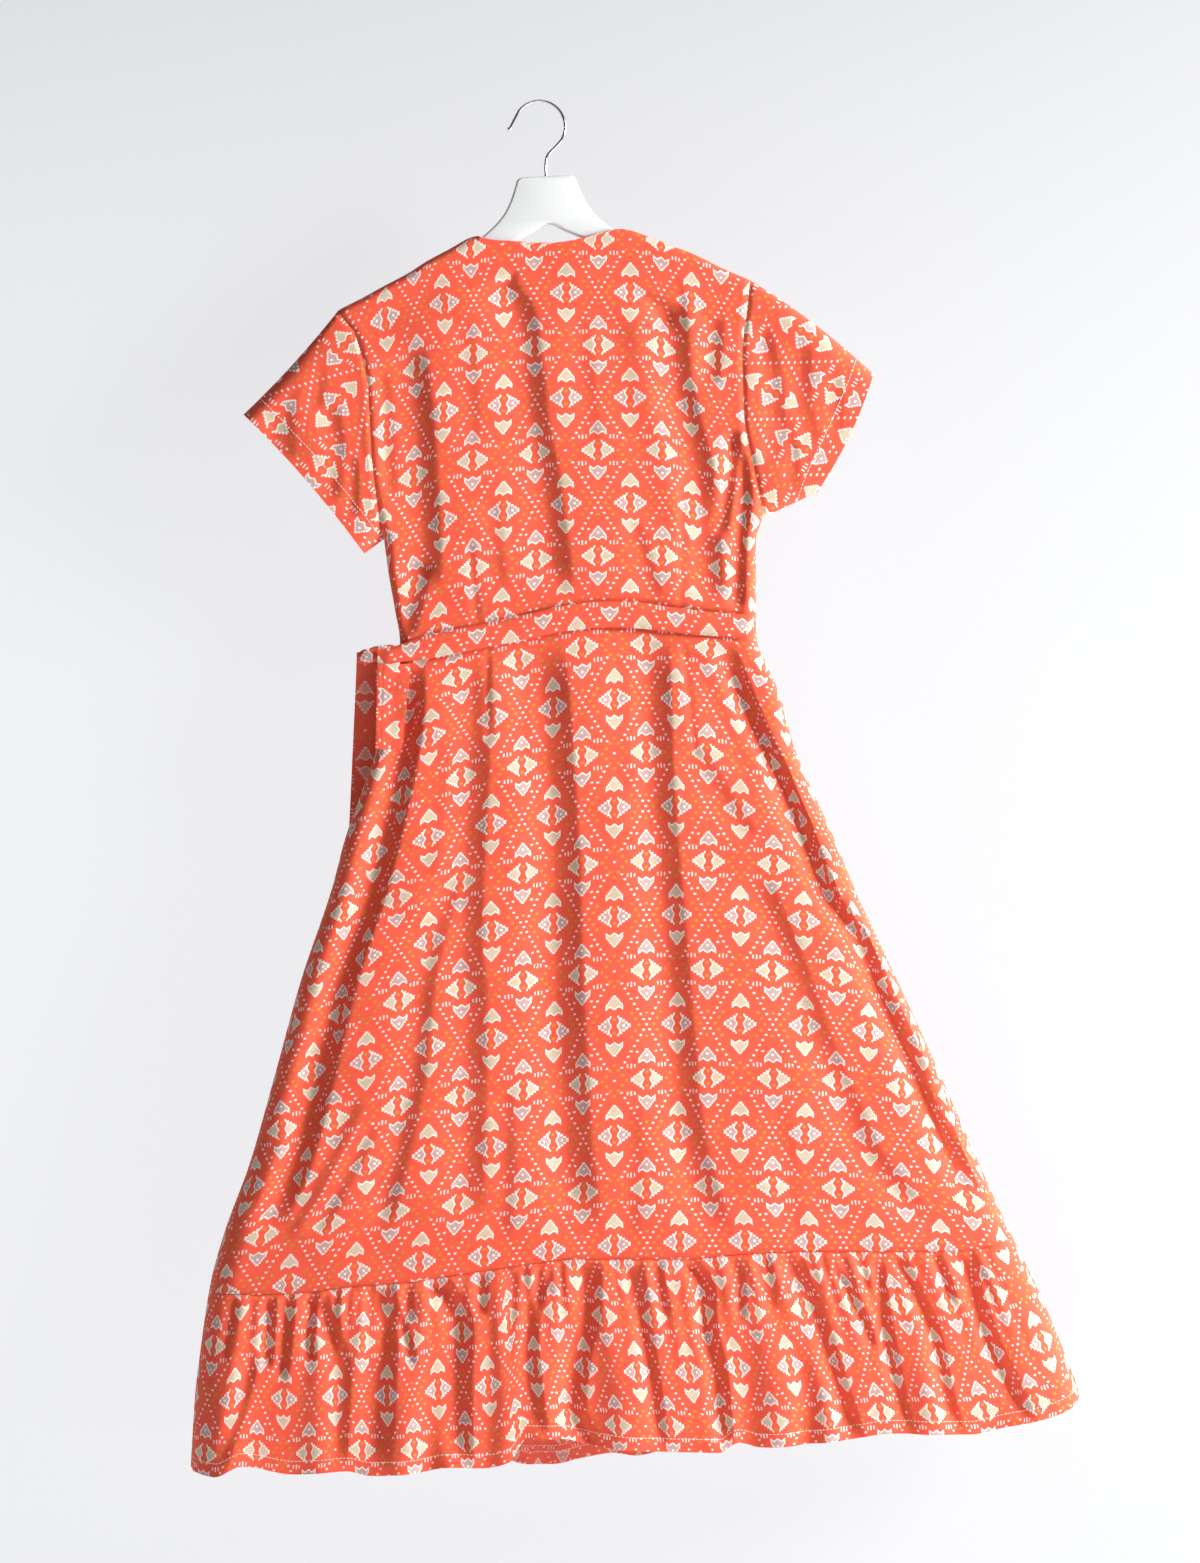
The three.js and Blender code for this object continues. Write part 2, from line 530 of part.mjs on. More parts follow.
// The back bodice runs across both shoulders and the neckline between them.
function backBodice() {
  const columns = backStations.map((x) => (x - leftTip.x) / (rightTip.x - leftTip.x))
  const left = bodiceSide(leftInset, lift(waistLeft, half), leftUnderarm, leftTip)
  const right = bodiceSide(rightInset, lift(waistRight, half), rightUnderarm, rightTip)
  const topZ = (x) => (x < leftNeck.x || x > rightNeck.x ? shoulderZ(x) : necklineZ(x))
  const start = left[left.length - 1]
  const end = right[right.length - 1]
  const grid = surface(columns, bodiceRows, {
    bottom: levelAt(left[0].x, right[0].x, waistZ, half),
    top: (u) => {
      const x = lerp(leftTip.x, rightTip.x, u)
      return { x: lerp(start.x, end.x, u), z: topZ(x) }
    },
    left: pickRow(left), right: pickRow(right), y: layerY.back,
  })
  const onShoulder = (x) => x < leftNeck.x + 0.5 || x > rightNeck.x - 0.5
  return wall(grid, {
    trim: bodyTrim(backSide, {
      leftSeam: true, rightSeam: true, bottomZ: waistZ, shoulder: onShoulder,
    }, grid.length - 1, grid[0].length - 1),
  })
}

// A wrap front: one shoulder at the top, its own side seam, and a free edge that crosses over
// to the other side of the waist.
function frontBodice(layer) {
  const isOuter = layer === 'outer'
  const ownEdge = isOuter ? rightInset : leftInset
  const ownWaist = lift(isOuter ? waistRight : waistLeft, half)
  const underarm = isOuter ? rightUnderarm : leftUnderarm
  const tip = isOuter ? rightTip : leftTip
  const neck = isOuter ? rightNeck : leftNeck
  const freeX = freeEdgeX[layer]
  const own = bodiceSide(ownEdge, ownWaist, underarm, tip)
  const freeWaist = lift(cornerOf(freeX, waistZ, -515), half)
  const reach = own.map((point) => (point.z - own[0].z) / (own[own.length - 1].z - own[0].z))
  const free = reach.map((t) => {
    const z = lerp(freeWaist.z, neck.z, t)
    return { x: freeX(z), z }
  })
  const [left, right] = isOuter ? [free, own] : [own, free]
  const top = (u) => {
    const from = left[left.length - 1].x
    const to = right[right.length - 1].x
    const x = lerp(from, to, u)
    if (u === 0) return { x, z: left[left.length - 1].z }
    if (u === 1) return { x, z: right[right.length - 1].z }
    return { x, z: shoulderZ(x) }
  }
  const grid = surface(frontColumns, bodiceRows, {
    bottom: levelAt(left[0].x, right[0].x, waistZ, half), top,
    left: pickRow(left), right: pickRow(right), y: layerY[layer],
  })
  return wall(grid, {
    trim: bodyTrim(frontSide, {
      leftSeam: !isOuter, rightSeam: isOuter, bottomZ: waistZ, shoulder: () => true,
    }, grid.length - 1, grid[0].length - 1),
  })
}

// A skirt panel from the waist seam to the ruffle seam, and a ruffle from there to the hem.
function skirtPanel(layer, columns, rows) {
  const leftEdge = layer === 'outer' ? freeEdgeX.outer : leftInset
  const rightEdge = layer === 'inner' ? freeEdgeX.inner : rightInset
  const topLeft = lift(cornerOf(leftEdge, waistZ, -520), -half)
  const topRight = lift(cornerOf(rightEdge, waistZ, -505), -half)
  const seamZ = layer === 'back' ? ruffleSeamZ : frontSeamZ
  const lowLeft = lift(cornerOf(leftEdge, seamZ, -1135), half)
  const lowRight = lift(cornerOf(rightEdge, seamZ, -1090), half)
  const grid = surface(columns, rows, {
    bottom: levelAt(lowLeft.x, lowRight.x, seamZ, half),
    top: levelAt(topLeft.x, topRight.x, waistZ, -half),
    left: lineAt(leftEdge, lowLeft.z, topLeft.z),
    right: lineAt(rightEdge, lowRight.z, topRight.z),
    y: layerY[layer],
  })
  return wall(grid, {
    trim: bodyTrim(layer === 'back' ? backSide : frontSide, {
      leftSeam: layer !== 'outer', rightSeam: layer !== 'inner',
      topZ: waistZ, bottomZ: seamZ,
    }, grid.length - 1, grid[0].length - 1),
  })
}

function rufflePanel(layer, rows) {
  const leftEdge = layer === 'outer' ? freeEdgeX.outer : leftInset
  const rightEdge = layer === 'inner' ? freeEdgeX.inner : rightInset
  const hemZ = layer === 'back' ? backHemZ : frontHemZ
  const seamZ = layer === 'back' ? ruffleSeamZ : frontSeamZ
  const topLeft = lift(cornerOf(leftEdge, seamZ, -1135), -half)
  const topRight = lift(cornerOf(rightEdge, seamZ, -1090), -half)
  const lowLeft = cornerOf(leftEdge, hemZ, -1300)
  const lowRight = cornerOf(rightEdge, hemZ, -1240)
  const frontColumnCount = Math.round(skirtEdges.at(-1).inner * ruffle.frontColumns)
  const columns = evenly(layer === 'back' ? ruffle.backColumns : frontColumnCount)
  const grid = surface(columns, [...rows].map((v) => 1 - v).reverse(), {
    bottom: levelAt(lowLeft.x, lowRight.x, hemZ, 0),
    top: levelAt(topLeft.x, topRight.x, seamZ, -half),
    left: lineAt(leftEdge, lowLeft.z, topLeft.z),
    right: lineAt(rightEdge, lowRight.z, topRight.z),
    y: ruffleY[layer],
  })
  return wall(grid, {
    trim: bodyTrim(layer === 'back' ? backSide : frontSide, {
      leftSeam: layer !== 'outer', rightSeam: layer !== 'inner', topZ: seamZ,
    }, grid.length - 1, grid[0].length - 1),
  })
}

// A straight line between two points, bowed sideways in its middle.
function bowed(from, to, bow) {
  const length = Math.hypot(to.x - from.x, to.z - from.z)
  const side = { x: -(to.z - from.z) / length, z: (to.x - from.x) / length }
  return (t) => {
    const out = bow * 4 * t * (1 - t)
    return { x: lerp(from.x, to.x, t) + side.x * out, z: lerp(from.z, to.z, t) + side.z * out }
  }
}

// A sleeve: a flattened tube from the armhole to the cuff, folded at its top edge and at the
// underarm. Each ring runs down the back side and up the front side.
function sleeve({ side, armhole, tip, underarm, cuffTop, cuffLow, topBow, cuffBow, depth }) {
  const armX = edgeX[armhole]
  const seamX = (z) => armX(z) + side * half
  const arm = (s) => {
    const z = lerp(tip.z, underarm, s)
    return { x: seamX(z), z }
  }
  const cuff = bowed(cuffTop, cuffLow, -side * cuffBow)
  const flat = surface(armholeRows, sleeveRows, {
    bottom: arm, top: cuff,
    left: (v) => bowed(arm(0), cuffTop, side * topBow)(v),
    right: (v) => bowed(arm(1), cuffLow, 0)(v),
    y: () => 0,
  })
  const cuffLength = Math.hypot(cuffTop.x - cuffLow.x, cuffTop.z - cuffLow.z)
  const halfDepth = (point, s, v) => {
    const atArm = bodyDepth(armX(lerp(tip.z, underarm, s)), lerp(tip.z, underarm, s))
    const round = dome(s * cuffLength / 14) * dome((1 - s) * cuffLength / 14)
    const spread = smooth(0, 0.7, v)
    const quiet = smooth(0, 0.2, v) * smooth(0, 0.2, s) * smooth(0, 0.2, 1 - s)
    return lerp(atArm, depth * round, spread) - quiet * foldDepth(sleeveFolds, point.x, point.z)
  }
  const last = armholeRows.length - 1
  const ends = (s) => (s === 0 || s === 1 ? 0 : 1)
  const grid = flat.map((row, i) => {
    const back = row.map((point, k) => new THREE.Vector3(
      point.x, -ends(armholeRows[k]) * halfDepth(point, armholeRows[k], sleeveRows[i]), point.z))
    const front = back.slice(1, last).reverse().map((p) => new THREE.Vector3(p.x, -p.y, p.z))
    return [...back, ...front]
  })
  return wall(grid, {
    round: true,
    trim: (point, i) => {
      if (i === 0) point.x = seamX(point.z)
    },
  })
}

// The belt lies taut over the waist seam, a hair outside the back, and leaves it at the left
// for the tie. At the right it starts at the side seam.
function belt() {
  const clearance = clothWall / 2 + seamGap + beltWall / 2 + 0.4
  const columns = evenly(30)
  const acrossRows = [-0.5, -0.25, 0.25, 0.5]
  const grid = acrossRows.map((row) => columns.map((u) => {
    const x = lerp(beltEnds.left, beltEnds.right, u)
    const z = waistZ(x) + row * beltWidth
    const onBody = Math.max(x, beltEnds.leavesBodyAt)
    const deepest = Math.max(...acrossRows.map((r) => (
      bodyDepth(onBody, waistZ(onBody) + r * beltWidth)))) + clearance
    return new THREE.Vector3(x, -deepest, z)
  }))
  return wall(grid, { thickness: beltWall })
}

// The turn behind the belt's end, where the two ties cross: a soft flat roll with two grooves
// between its windings.
function tieTurn() {
  const roll = new THREE.SphereGeometry(1, 16, 10)
  const place = roll.attributes.position
  const boxy = (t) => Math.sign(t) * Math.abs(t) ** 0.72
  for (let i = 0; i < place.count; i += 1) {
    const [x, y, z] = [place.getX(i), place.getY(i), place.getZ(i)]
    const groove = 1 - 0.14 * Math.exp(-(((x + 0.35 * y - 0.1) / 0.16) ** 2))
      - 0.08 * Math.exp(-(((x - 0.5) / 0.13) ** 2))
    place.setXYZ(i, turn.x + turn.halfWidth * boxy(x) * groove,
      turn.y + turn.halfDepth * boxy(z) * groove,
      turn.z + turn.halfHeight * boxy(y) * groove + turn.slope * x)
  }
  return facedOutwards(mergeVertices(stripped(roll), 1e-4))
}

function stripped(geometry) {
  geometry.deleteAttribute('normal')
  geometry.deleteAttribute('uv')
  return geometry
}

// A tail of the tie: a flat strip with one lengthwise crease, hanging from the turn.
function tieTail({ topLeft, topRight, lowLeft, lowRight, top, low, y, lowY, crease }) {
  const creaseDepth = 1.4
  const swayWidth = 0.5
  const acrossColumns = [0, crease / 2, crease, (1 + crease) / 2, 1]
  const grid = evenly(10).map((v) => acrossColumns.map((u) => {
    const left = lerp(lowLeft, topLeft, v)
    const right = lerp(lowRight, topRight, v)
    const z = lerp(low, top, v)
    const bend = creaseDepth * Math.max(0, 1 - Math.abs(u - crease) / 0.4)
    const out = lerp(y, lowY, Math.sqrt(1 - v))
    const sway = swayWidth * Math.sin(7 * v + 3 * u)
    return new THREE.Vector3(lerp(left, right, u), out + Math.sign(y) * (bend + sway), z)
  }))
  return wall(grid)
}

// The wooden hanger: one bevelled board, cut to a neck, two sloping arms and a notch below.
function hangerBody() {
  const { neckTop, neckHalf, corner, shoulderX, tipX, armSlope, notchZ, undersideSlope } = hanger
  const topZ = (x) => hanger.shoulderZ - armSlope * (x - shoulderX)
  const lowZ = (x) => notchZ - undersideSlope * x
  const side = (mirror) => {
    const at = (x, z) => new THREE.Vector2(mirror * x, z)
    return [
      at(neckHalf - corner, neckTop), at(neckHalf - 1.6, neckTop - 1.8),
      at(neckHalf, neckTop - corner),
      at(neckHalf + 3.2, -84), at(neckHalf + 7, -95), at(40.5, -104.5), at(47, -112),
      at(56, -120), at(shoulderX, hanger.shoulderZ), at(tipX - 6, topZ(tipX - 6)),
      at(tipX, topZ(tipX) - hanger.tipRound * 0.4), at(tipX, lowZ(tipX) + hanger.tipRound * 0.4),
      at(tipX - 6, lowZ(tipX - 6)),
    ]
  }
  const right = side(1)
  const left = side(-1).reverse()
  const shape = new THREE.Shape([...right, new THREE.Vector2(0, notchZ), ...left])
  const { thickness, bevel } = hanger
  const board = new THREE.ExtrudeGeometry(shape, {
    depth: thickness - 2 * bevel, bevelEnabled: true, bevelThickness: bevel, bevelSize: bevel,
    bevelOffset: -bevel, bevelSegments: 2, steps: 1, curveSegments: 8,
  })
  board.translate(0, 0, -(thickness - 2 * bevel) / 2)
  board.rotateX(Math.PI / 2)
  const holeRadius = hook.wire / 2 + seamGap
  const drill = new THREE.CylinderGeometry(holeRadius, holeRadius, 30, 16)
  drill.rotateX(Math.PI / 2)
  drill.translate(hook.stemX, 0, hook.stemEnd - seamGap + 15)
  return geometryOf(solidOf(board).subtract(solidOf(drill)))
}

// The hook: round wire bent to a three-quarter loop with a flared, balled tip, and a stem.
function hangerHook() {
  const { loopRadius, loopX, loopZ, stemX, stemEnd, wire, ball } = hook
  const onLoop = (degrees) => {
    const angle = THREE.MathUtils.degToRad(degrees)
    const out = new THREE.Vector3(Math.cos(angle), 0, Math.sin(angle)).multiplyScalar(loopRadius)
    return out.add(new THREE.Vector3(loopX, 0, loopZ))
  }
  const tip = new THREE.Vector3(loopX - loopRadius - 4, 0, loopZ - 1)
  const loop = evenly(8).map((t) => onLoop(lerp(158, -52, t)))
  const path = new THREE.CatmullRomCurve3([
    tip, ...loop,
    new THREE.Vector3(stemX + 2.2, 0, loopZ - 28.6), new THREE.Vector3(stemX, 0, loopZ - 38),
    new THREE.Vector3(stemX, 0, stemEnd + 14), new THREE.Vector3(stemX, 0, stemEnd),
  ])
  const section = new THREE.Shape(evenly(7).map((t) => {
    const angle = t * 0.875 * 2 * Math.PI
    return new THREE.Vector2(Math.cos(angle), Math.sin(angle)).multiplyScalar(wire / 2)
  }))
  const tube = new THREE.ExtrudeGeometry(section, { steps: 42, bevelEnabled: false, extrudePath: path })
  const end = new THREE.SphereGeometry(ball, 10, 6).translate(tip.x, tip.y, tip.z)
  return geometryOf(solidOf(tube).add(solidOf(end)))
}

const hangerFrame = new THREE.Group()
hangerFrame.position.x = hanger.stemX
hangerFrame.rotation.y = hanger.tilt
group.add(hangerFrame)
addPiece(hangerFrame, 'hanger_body', hangerBody(), { color: 0xf0f3f0, roughness: 0.45 })
addPiece(hangerFrame, 'hanger_hook', hangerHook(), { color: 0xc8c8cc, roughness: 0.2, metalness: 1 })
addPiece(group, 'back_bodice', backBodice())
addPiece(group, 'front_bodice_outer', frontBodice('outer'))
addPiece(group, 'front_bodice_inner', frontBodice('inner'))
for (const shape of sleeves) addPiece(group, shape.name, sleeve(shape))
addPiece(group, 'back_skirt', skirtPanel('back', skirtColumns, skirtRows))
addPiece(group, 'front_skirt_outer', skirtPanel('outer', frontSkirtColumns, frontSkirtRows))
addPiece(group, 'front_skirt_inner', skirtPanel('inner', frontSkirtColumns, frontSkirtRows))
addPiece(group, 'back_ruffle', rufflePanel('back', ruffleRows))
addPiece(group, 'front_ruffle_outer', rufflePanel('outer', frontRuffleRows))
addPiece(group, 'front_ruffle_inner', rufflePanel('inner', frontRuffleRows))
addPiece(group, 'belt', belt())
addPiece(group, 'tie_turn', tieTurn())
addPiece(group, 'tie_tail_short', tieTail(tails.short))
addPiece(group, 'tie_tail_long', tieTail(tails.long))

export default group
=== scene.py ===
"""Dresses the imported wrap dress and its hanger: cloth, print, stitching, hanger, light and camera.

All shapes are worked out in millimetres and become metres when their mesh is made. +X is to the
right seen from the dress's back, which faces -Y, and the origin is the hook's hold point.
"""

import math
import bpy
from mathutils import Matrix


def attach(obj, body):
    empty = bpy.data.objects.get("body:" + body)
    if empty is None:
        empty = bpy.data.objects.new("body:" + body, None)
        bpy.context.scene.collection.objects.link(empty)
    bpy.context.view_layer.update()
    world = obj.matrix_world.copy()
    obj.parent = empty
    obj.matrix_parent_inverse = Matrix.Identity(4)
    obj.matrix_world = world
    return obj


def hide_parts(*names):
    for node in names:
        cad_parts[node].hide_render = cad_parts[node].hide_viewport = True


bl_info = {
    "name": "Wrap dress on a hanger",
    "version": (1, 0, 0),
    "blender": (4, 5, 0),
    "location": "3D View > Sidebar > Dress",
    "description": "Builds a hanging wrap dress of printed cloth, with its tie and its hanger",
    "category": "Object",
}

import bpy
import numpy as np
from mathutils import Vector
from mathutils.geometry import tessellate_polygon

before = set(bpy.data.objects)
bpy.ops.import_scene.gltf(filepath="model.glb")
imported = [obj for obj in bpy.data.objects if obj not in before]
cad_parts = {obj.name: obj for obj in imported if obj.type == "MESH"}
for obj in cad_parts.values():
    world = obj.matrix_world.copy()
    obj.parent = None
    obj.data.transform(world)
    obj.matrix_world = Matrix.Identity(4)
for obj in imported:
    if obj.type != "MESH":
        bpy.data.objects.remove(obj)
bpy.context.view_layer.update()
MM = 0.001
CLOTH = "printed_cloth"

# ---- Small sizes of the sewing, in millimetres ---------------------------------------------

SEAM_HALF = 0.15
SIDE_INSET = 0.6
# Grooves: depth and reach. An armhole's is also at most a share of the body's depth there.
ARMHOLE_GROOVE, ARMHOLE_SHARE = (1.8, 2.8), 0.35
RUFFLE_GROOVE = (2.8, 2.4)
DART_GROOVE = (1.2, 4)
# The belt's edges: side, depth and reach of the groove beside each, and how far off it lies.
BELT_GROOVES = [(1, 3.4, 2.6), (-1, 3.2, 2.4)]
BELT_GROOVE_OFF = 0.6
BELT_CLEARANCE = 1.0
# Gathers and, nearer to the seam, finer tucks across the width of a ruffle.
GATHERS, TUCKS = 38, 63

# ---- Outline tables, as (z or x, value) rows in millimetres -------------------------------

# Level sections: z, left outline, right outline, half depth, width of the rounded side.
BODY_SECTIONS = np.array([
    (-171.4, -191.2, 203.3, 8.5, 16), (-200, -191, 200.5, 9.5, 16), (-220, -177, 197.3, 11, 16),
    (-245, -168, 195.8, 12.5, 16), (-270, -162.8, 196.3, 14, 16), (-305, -160.6, 197.6, 15.5, 16),
    (-340, -158.8, 203.7, 16.5, 16), (-384, -153.8, 213, 16, 15), (-398, -152, 215, 15.5, 15),
    (-419, -148.4, 209.4, 15, 14), (-450, -144.2, 209.2, 13.5, 14), (-490, -137.2, 209.2, 12.5, 14),
    (-517, -133, 210.2, 12.5, 14), (-535, -133, 217.3, 13, 14), (-566, -140, 231, 14.5, 15),
    (-620, -155, 246.5, 17.5, 17), (-707, -185.6, 284.5, 21, 20), (-755, -198.4, 304, 23, 21),
    (-842, -227.7, 344.5, 26, 23), (-928, -251.5, 383.7, 28, 25), (-1018, -277, 423, 30, 27),
    (-1085, -301.5, 453.3, 31, 28), (-1135, -315, 478, 32, 28), (-1210, -326, 509, 35, 30),
    (-1240, -329.5, 519, 36, 30), (-1314, -334, 521, 38, 30),
])
LEFT_UNDERARM, RIGHT_UNDERARM = -419, -398
LEFT_TIP, RIGHT_TIP = (-191.2, -199.6), (203.3, -171.4)
LEFT_NECK, RIGHT_NECK = (-59.2, -128.9), (78.1, -121.9)
SHOULDER_LINE = [
    LEFT_TIP, (-169, -188.5), (-151.9, -179), (-123, -163.5), (-107.7, -153.6), (-85.6, -141.6),
    LEFT_NECK, RIGHT_NECK, (108, -130), (129, -138.5), (150, -146.5), (174.4, -158.7), RIGHT_TIP,
]
NECKLINE = [
    LEFT_NECK, (-46.8, -132.6), (-23.8, -134.3), (9.4, -135.7), (23, -135), (38.6, -132),
    (59.3, -126.6), RIGHT_NECK,
]
WAIST_SEAM = [
    (-140, -528), (-122, -525.3), (-92, -519.5), (-55, -512.4), (-14, -504.3), (20, -497.2),
    (65, -493.2), (92, -494), (131, -498.5), (166, -501.7), (198, -503.6), (215, -505),
]
BACK_RUFFLE_SEAM = [
    (-320, -1139), (-268, -1141), (-223, -1139), (-173, -1133), (-132, -1130), (-96, -1125),
    (-62, -1120), (-30, -1115.5), (3, -1110.5), (38, -1107), (138, -1107), (189, -1103),
    (251, -1100), (395, -1100), (431, -1095), (460, -1084),
]
FRONT_RUFFLE_SEAM = [(-320, -1139), (-150, -1130), (100, -1114), (300, -1101), (460, -1084)]
BACK_HEM = [
    (-340, -1307), (-308, -1313), (-282, -1303), (-233, -1311), (-181, -1308), (-160, -1312),
    (-112, -1309), (-82, -1304), (-52, -1305), (-27, -1299), (-10, -1277), (20, -1277),
    (50, -1283), (95, -1288), (173, -1290), (191, -1281), (212, -1285), (294, -1278),
    (336, -1272), (411, -1273), (447, -1266), (476, -1260), (504, -1251), (525, -1238),
]
FRONT_HEM = [
    (-340, -1305), (-200, -1302), (-90, -1298), (-40, -1306), (-7, -1313), (11, -1313),
    (42, -1306), (70, -1302), (93, -1305), (116, -1300), (140, -1291), (200, -1276),
    (300, -1270), (400, -1264), (480, -1250), (525, -1237),
]
# Free edges of the wrap fronts: x down to the waist, then the share of the width beside them.
OUTER_EDGE = [(RIGHT_NECK[1], RIGHT_NECK[0]), (-200, 62), (-290, 30), (-380, -32), (-450, -85),
              (-523, -119)]
INNER_EDGE = [(LEFT_NECK[1], LEFT_NECK[0]), (-200, -45), (-290, -10), (-380, 70), (-450, 145),
              (-506, 196)]
EDGE_SHARES = [(-500, 0.041), (-700, 0.06), (-900, 0.082), (-1080, 0.1)]

# Folds: depth, width of the flank on the left of the trough, width of the band that rises on its
# right to the crest, and the crest's points from the top down.
BACK_SKIRT_FOLDS = [
    (9, 16, 15, [(-107.7, -530.4), (-108.7, -583.2), (-114.4, -626.4), (-141.3, -746.4), (-172, -842.4),
        (-199.9, -957.6), (-216.7, -1020), (-247.9, -1089.6)]),
    (4.2, 22, 20, [(-43.9, -520.8), (-46.3, -640.8), (-50.1, -727.2), (-52, -808.8), (-48.2, -861.6),
        (-48.7, -976.8), (-50.1, -1080)]),
    (3.2, 18, 14, [(-70.3, -736.8), (-98.1, -852), (-105.8, -928.8), (-119.2, -996), (-141.3, -1089.6)]),
    (7.2, 26, 26, [(20.9, -511.2), (28.1, -544.8), (36.8, -664.8), (41.1, -736.8), (43, -832.8),
        (48.3, -928.8), (54.5, -1024.8), (66.5, -1094.4)]),
    (5.6, 22, 21, [(126.5, -506.4), (129.4, -616.8), (133.2, -688.8), (141.4, -784.8), (149.1, -880.8),
        (157.7, -976.8), (176.9, -1053.6), (192.8, -1094.4)]),
    (9, 14, 11, [(186.5, -516), (217.7, -595.2), (247.5, -657.6), (269.1, -712.8), (287.8, -758.4),
        (314.7, -799.2), (336.8, -852), (362.7, -909.6), (381.9, -957.6), (410.7, -1020), (433.7, -1068)]),
    (3.4, 22, 17, [(220.1, -736.8), (244.1, -794.4), (263.3, -842.4), (276.3, -880.8), (288.8, -914.4),
        (308, -957.6), (324.3, -996), (356.9, -1039.2), (385.7, -1075.2)]),
    (2, 16, 14, [(157.7, -525.6), (179.3, -568.8), (200.9, -612), (217.7, -655.2)]),
    (1.8, 18, 14, [(157.7, -616.8), (184.1, -660), (215.3, -708)]),
    (2.2, 12, 12, [(-162.4, -952.8), (-186.4, -1005.6), (-220, -1068), (-235.9, -1089.6)]),
    (1.9, 11, 10, [(-147.1, -976.8), (-179.7, -1039.2), (-203.7, -1084.8)]),
    (1.8, 10, 9, [(-203.7, -900), (-223.9, -957.6), (-247.9, -1005.6), (-271.9, -1063.2)]),
    (1.5, 14, 10, [(-22.3, -943.2), (-21.3, -1005.6), (-24.2, -1087.2)]),
    (1.3, 14, 12, [(98.7, -957.6), (100.6, -1005.6), (98.7, -1089.6)]),
    (1.3, 16, 12, [(236.9, -952.8), (246.5, -1005.6), (256.1, -1087.2)]),
    (1.2, 14, 11, [(-7.9, -525.6), (-6.9, -592.8), (-3.1, -655.2)]),
    (1.2, 14, 11, [(-84.7, -612), (-89.5, -688.8), (-96.7, -746.4)]),
    (1.2, 16, 12, [(88.1, -525.6), (87.2, -592.8), (91, -669.6)]),
]
BACK_BODICE_FOLDS = [
    (6, 12, 12, [(-179.7, -208.8), (-174.9, -252), (-163.4, -304.8), (-153.8, -362.4), (-146.1, -400.8),
        (-141.3, -439.2), (-136.5, -477.6), (-129.8, -506.4)]),
    (4.6, 26, 18, [(-107.7, -232.8), (-99.1, -304.8), (-96.2, -352.8), (-93.3, -400.8), (-92.4, -439.2),
        (-94.3, -470.4)]),
    (3.6, 16, 14, [(-99, -440), (-107.7, -476), (-113, -496.8), (-118, -513.6)]),
    (4.2, 27, 18, [(-23.2, -132), (-19.4, -170.4), (-3.1, -199.2), (4.6, -247.2), (10.4, -304.8),
        (20, -352.8), (26.7, -400.8), (32.4, -448.8), (36.3, -477.6)]),
    (3, 9, 9, [(119.8, -151.2), (126.5, -184.8), (132.3, -218.4)]),
    (5.4, 22, 18, [(134.2, -156), (143.8, -208.8), (147.6, -256.8), (156.3, -304.8), (168.8, -352.8),
        (174.5, -400.8), (179.3, -448.8), (184.1, -492)]),
    (1.8, 22, 20, [(91, -199.2), (105.4, -280.8), (119.8, -343.2), (135.2, -420)]),
    (2.8, 12, 12, [(177.4, -165.6), (178.4, -218.4), (173.6, -276)]),
    (4.5, 8, 8, [(195.6, -314.4), (191.8, -352.8), (185.1, -400.8), (182.2, -420)]),
    (5, 9, 9, [(210, -328.8), (206.2, -381.6), (201.4, -429.6), (199.5, -492)]),
    (1.2, 16, 12, [(-60.7, -208.8), (-55.9, -276), (-54, -338.4)]),
    (1.2, 14, 12, [(49.7, -199.2), (55.5, -271.2), (62.2, -333.6)]),
    (1.3, 12, 10, [(-36.7, -381.6), (-31.9, -429.6), (-29, -468)]),
    (1.5, 12, 10, [(97.7, -400.8), (110.2, -439.2), (121.7, -477.6)]),
    (1.6, 12, 10, [(-142.3, -256.8), (-136.5, -314.4), (-133.6, -381.6)]),
]
